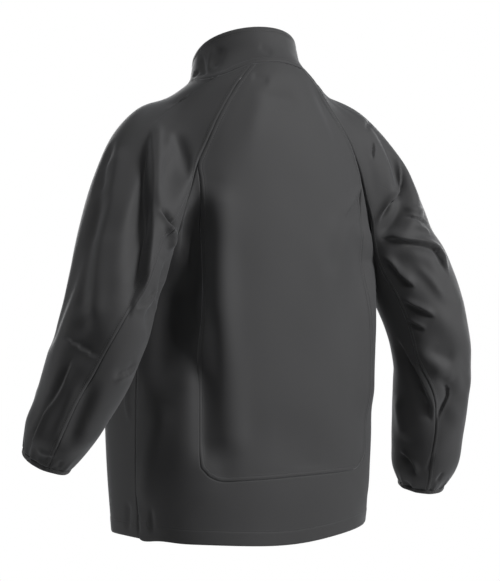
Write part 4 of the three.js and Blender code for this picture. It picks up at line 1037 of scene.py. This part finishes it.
CHAIN_THICK = 1.7
TOOTH_PITCH = 2.5  # from one tooth to the next on the same tape
ROW_SHIFT = ((1, 0.25), (-1, 0.75))  # each row's side, and where its first tooth is, as a part of the pitch
TEETH_TOP, TEETH_END = 0.6, 0.8  # the chain's ends without teeth
# Half a tooth's outline: how far past the centre, towards its own tape, and half its height there
TOOTH = ((-0.55, 0.36), (-0.3, 0.5), (0.35, 0.5), (0.6, 0.3), (1.0, 0.3), (1.3, 0.62), (2.75, 0.55))
TOOTH_LAYERS = ((-0.3, 0.12), (0.15, 0), (1.45, 0), (1.75, 0.16))  # height and how much smaller all round


def chain_course():
    """The zip's centre line from its top down: places on the chain's outer face and which way is out."""
    points, _ = merged("zip_chain")
    line = points[points[:, 0] > 0]
    pairs = []
    for point in line:
        gaps = np.linalg.norm(line - point, axis=1)
        mate = line[np.argmin(np.abs(gaps - CHAIN_THICK))]
        if point[1] < mate[1]:
            pairs.append((point, (point - mate) / np.linalg.norm(point - mate)))
    pairs.sort(key=lambda pair: -pair[0][2])
    place = np.array([(0, y, z) for (_, y, z), _ in pairs])
    return place, np.array([(0, y, z) for _, (_, y, z) in pairs])


course, course_out = chain_course()
run = np.concatenate([[0], np.cumsum(np.linalg.norm(np.diff(course, axis=0), axis=1))])


def on_chain(where):
    """Places on the chain and which way is out, at lengths from its top."""
    steps = np.interp(where, run, np.arange(len(run)))
    out = through(course_out, steps)
    place = through(course, steps)
    out /= np.linalg.norm(out, axis=1, keepdims=True)
    return place, out


def tooth_rows():
    """All teeth of both sides as points and faces."""
    half = np.array(TOOTH)
    outline = np.concatenate([half, half[::-1] * (1, -1)])
    middle = outline.mean(0)
    count = len(outline)
    layers = []
    for height, shrink in TOOTH_LAYERS:
        inset = outline + (middle - outline) * shrink
        layers.append(np.column_stack([inset, np.full(count, height)]))
    pattern = np.concatenate(layers)
    faces = []
    for k in range(len(layers) - 1):
        for i in range(count):
            a, b = k * count + i, k * count + (i + 1) % count
            faces += [(a, b, b + count), (a, b + count, a + count)]
    pairs = len(half)
    for base, turned in ((0, True), ((len(layers) - 1) * count, False)):
        for i in range(pairs - 1):
            a, b, c, d = base + i, base + i + 1, base + count - 2 - i, base + count - 1 - i
            caps = [(a, b, c), (a, c, d)]
            faces += [cap[::-1] if turned else cap for cap in caps]
    faces = np.array(faces)
    points, all_faces = [], []
    for side, shift in ROW_SHIFT:
        at = np.arange(TOOTH_PITCH * shift + TEETH_TOP, run[-1] - TEETH_END, TOOTH_PITCH)
        place, out = on_chain(at)
        before, _ = on_chain(at - 0.5)
        down = place - before
        down /= np.linalg.norm(down, axis=1, keepdims=True)
        foot = place - out * CHAIN_THICK
        base = sum(len(p) for p in points)
        spots = (foot[:, None] + np.array([side, 0, 0]) * pattern[None, :, 0:1]
                 + down[:, None] * pattern[None, :, 1:2] + out[:, None] * pattern[None, :, 2:3])
        points.append(spots.reshape(-1, 3))
        turned = faces if side < 0 else faces[:, ::-1]
        firsts = base + np.arange(len(at)) * len(pattern)
        all_faces.append((turned[None] + firsts[:, None, None]).reshape(-1, 3))
    return np.concatenate(points), np.concatenate(all_faces)


teeth = make_mesh("zip_teeth_rows", *tooth_rows(), [tooth_finish])
teeth.data.polygons.foreach_set("use_smooth", np.zeros(len(teeth.data.polygons), bool))
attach(teeth, JACKET)
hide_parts("zip_chain")

for side in ("left", "right"):
    node = "zip_tape_" + side
    sheet, sign = outer_sheet(node)
    fine = dense(sheet, TAPE_SPACING)
    normals = normals_of(fine, sign)
    tape = shell("woven_" + node, fine, normals, sign, WALLS[node] * TAPE_WALL_SHARE, [tape_finish] * 2)
    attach(tape, JACKET)
    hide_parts(node)
    cloth[node] = [tape, fine]

for node, finish in (("slider", metal_finish), ("pull_tab", metal_finish), ("zip_stop", tooth_finish)):
    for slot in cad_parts[node].material_slots:
        slot.material = finish


# Cut sizes of the cloth


def cut_of(sheet):
    """The widest row, the longest column and the area of a sheet, in metres."""
    rows = np.linalg.norm(np.diff(sheet, axis=1), axis=2).sum(1)
    columns = np.linalg.norm(np.diff(sheet, axis=0), axis=2).sum(0)
    first = np.cross(sheet[1:, 1:] - sheet[:-1, :-1], sheet[1:, :-1] - sheet[:-1, :-1])
    second = np.cross(sheet[:-1, 1:] - sheet[:-1, :-1], sheet[1:, 1:] - sheet[:-1, :-1])
    area = (np.linalg.norm(first, axis=2) + np.linalg.norm(second, axis=2)).sum() / 2
    return rows.max() * MM, columns.max() * MM, area * MM * MM


for node, (piece, sheet, *trims) in cloth.items():
    width, length, area = cut_of(sheet)


# Floor

FLOOR_DROP, FLOOR_HALF = -1.45, 30
floor_mesh = bpy.data.meshes.new("floor")
corners = [(FLOOR_HALF * x, FLOOR_HALF * y, FLOOR_DROP) for x, y in ((-1, -1), (1, -1), (1, 1), (-1, 1))]
floor_mesh.from_pydata(corners, [], [(0, 1, 2, 3)])
floor = bpy.data.objects.new("floor", floor_mesh)
bpy.context.scene.collection.objects.link(floor)
paint = Finish("pale_floor", base_color=(0.5, 0.5, 0.5, 1), roughness=0.9)
lit = paint.node("ShaderNodeEmission", None, {"Color": (1, 1, 1, 1), "Strength": 1})
shown = paint.node("ShaderNodeMixShader", None, {0: paint.node("ShaderNodeLightPath"), 2: lit})
paint.tree.links.new(paint.shader.outputs[0], shown.socket.node.inputs[1])
paint.tree.links.new(shown.socket, paint.tree.nodes["Material Output"].inputs["Surface"])
floor_mesh.materials.append(paint.material)
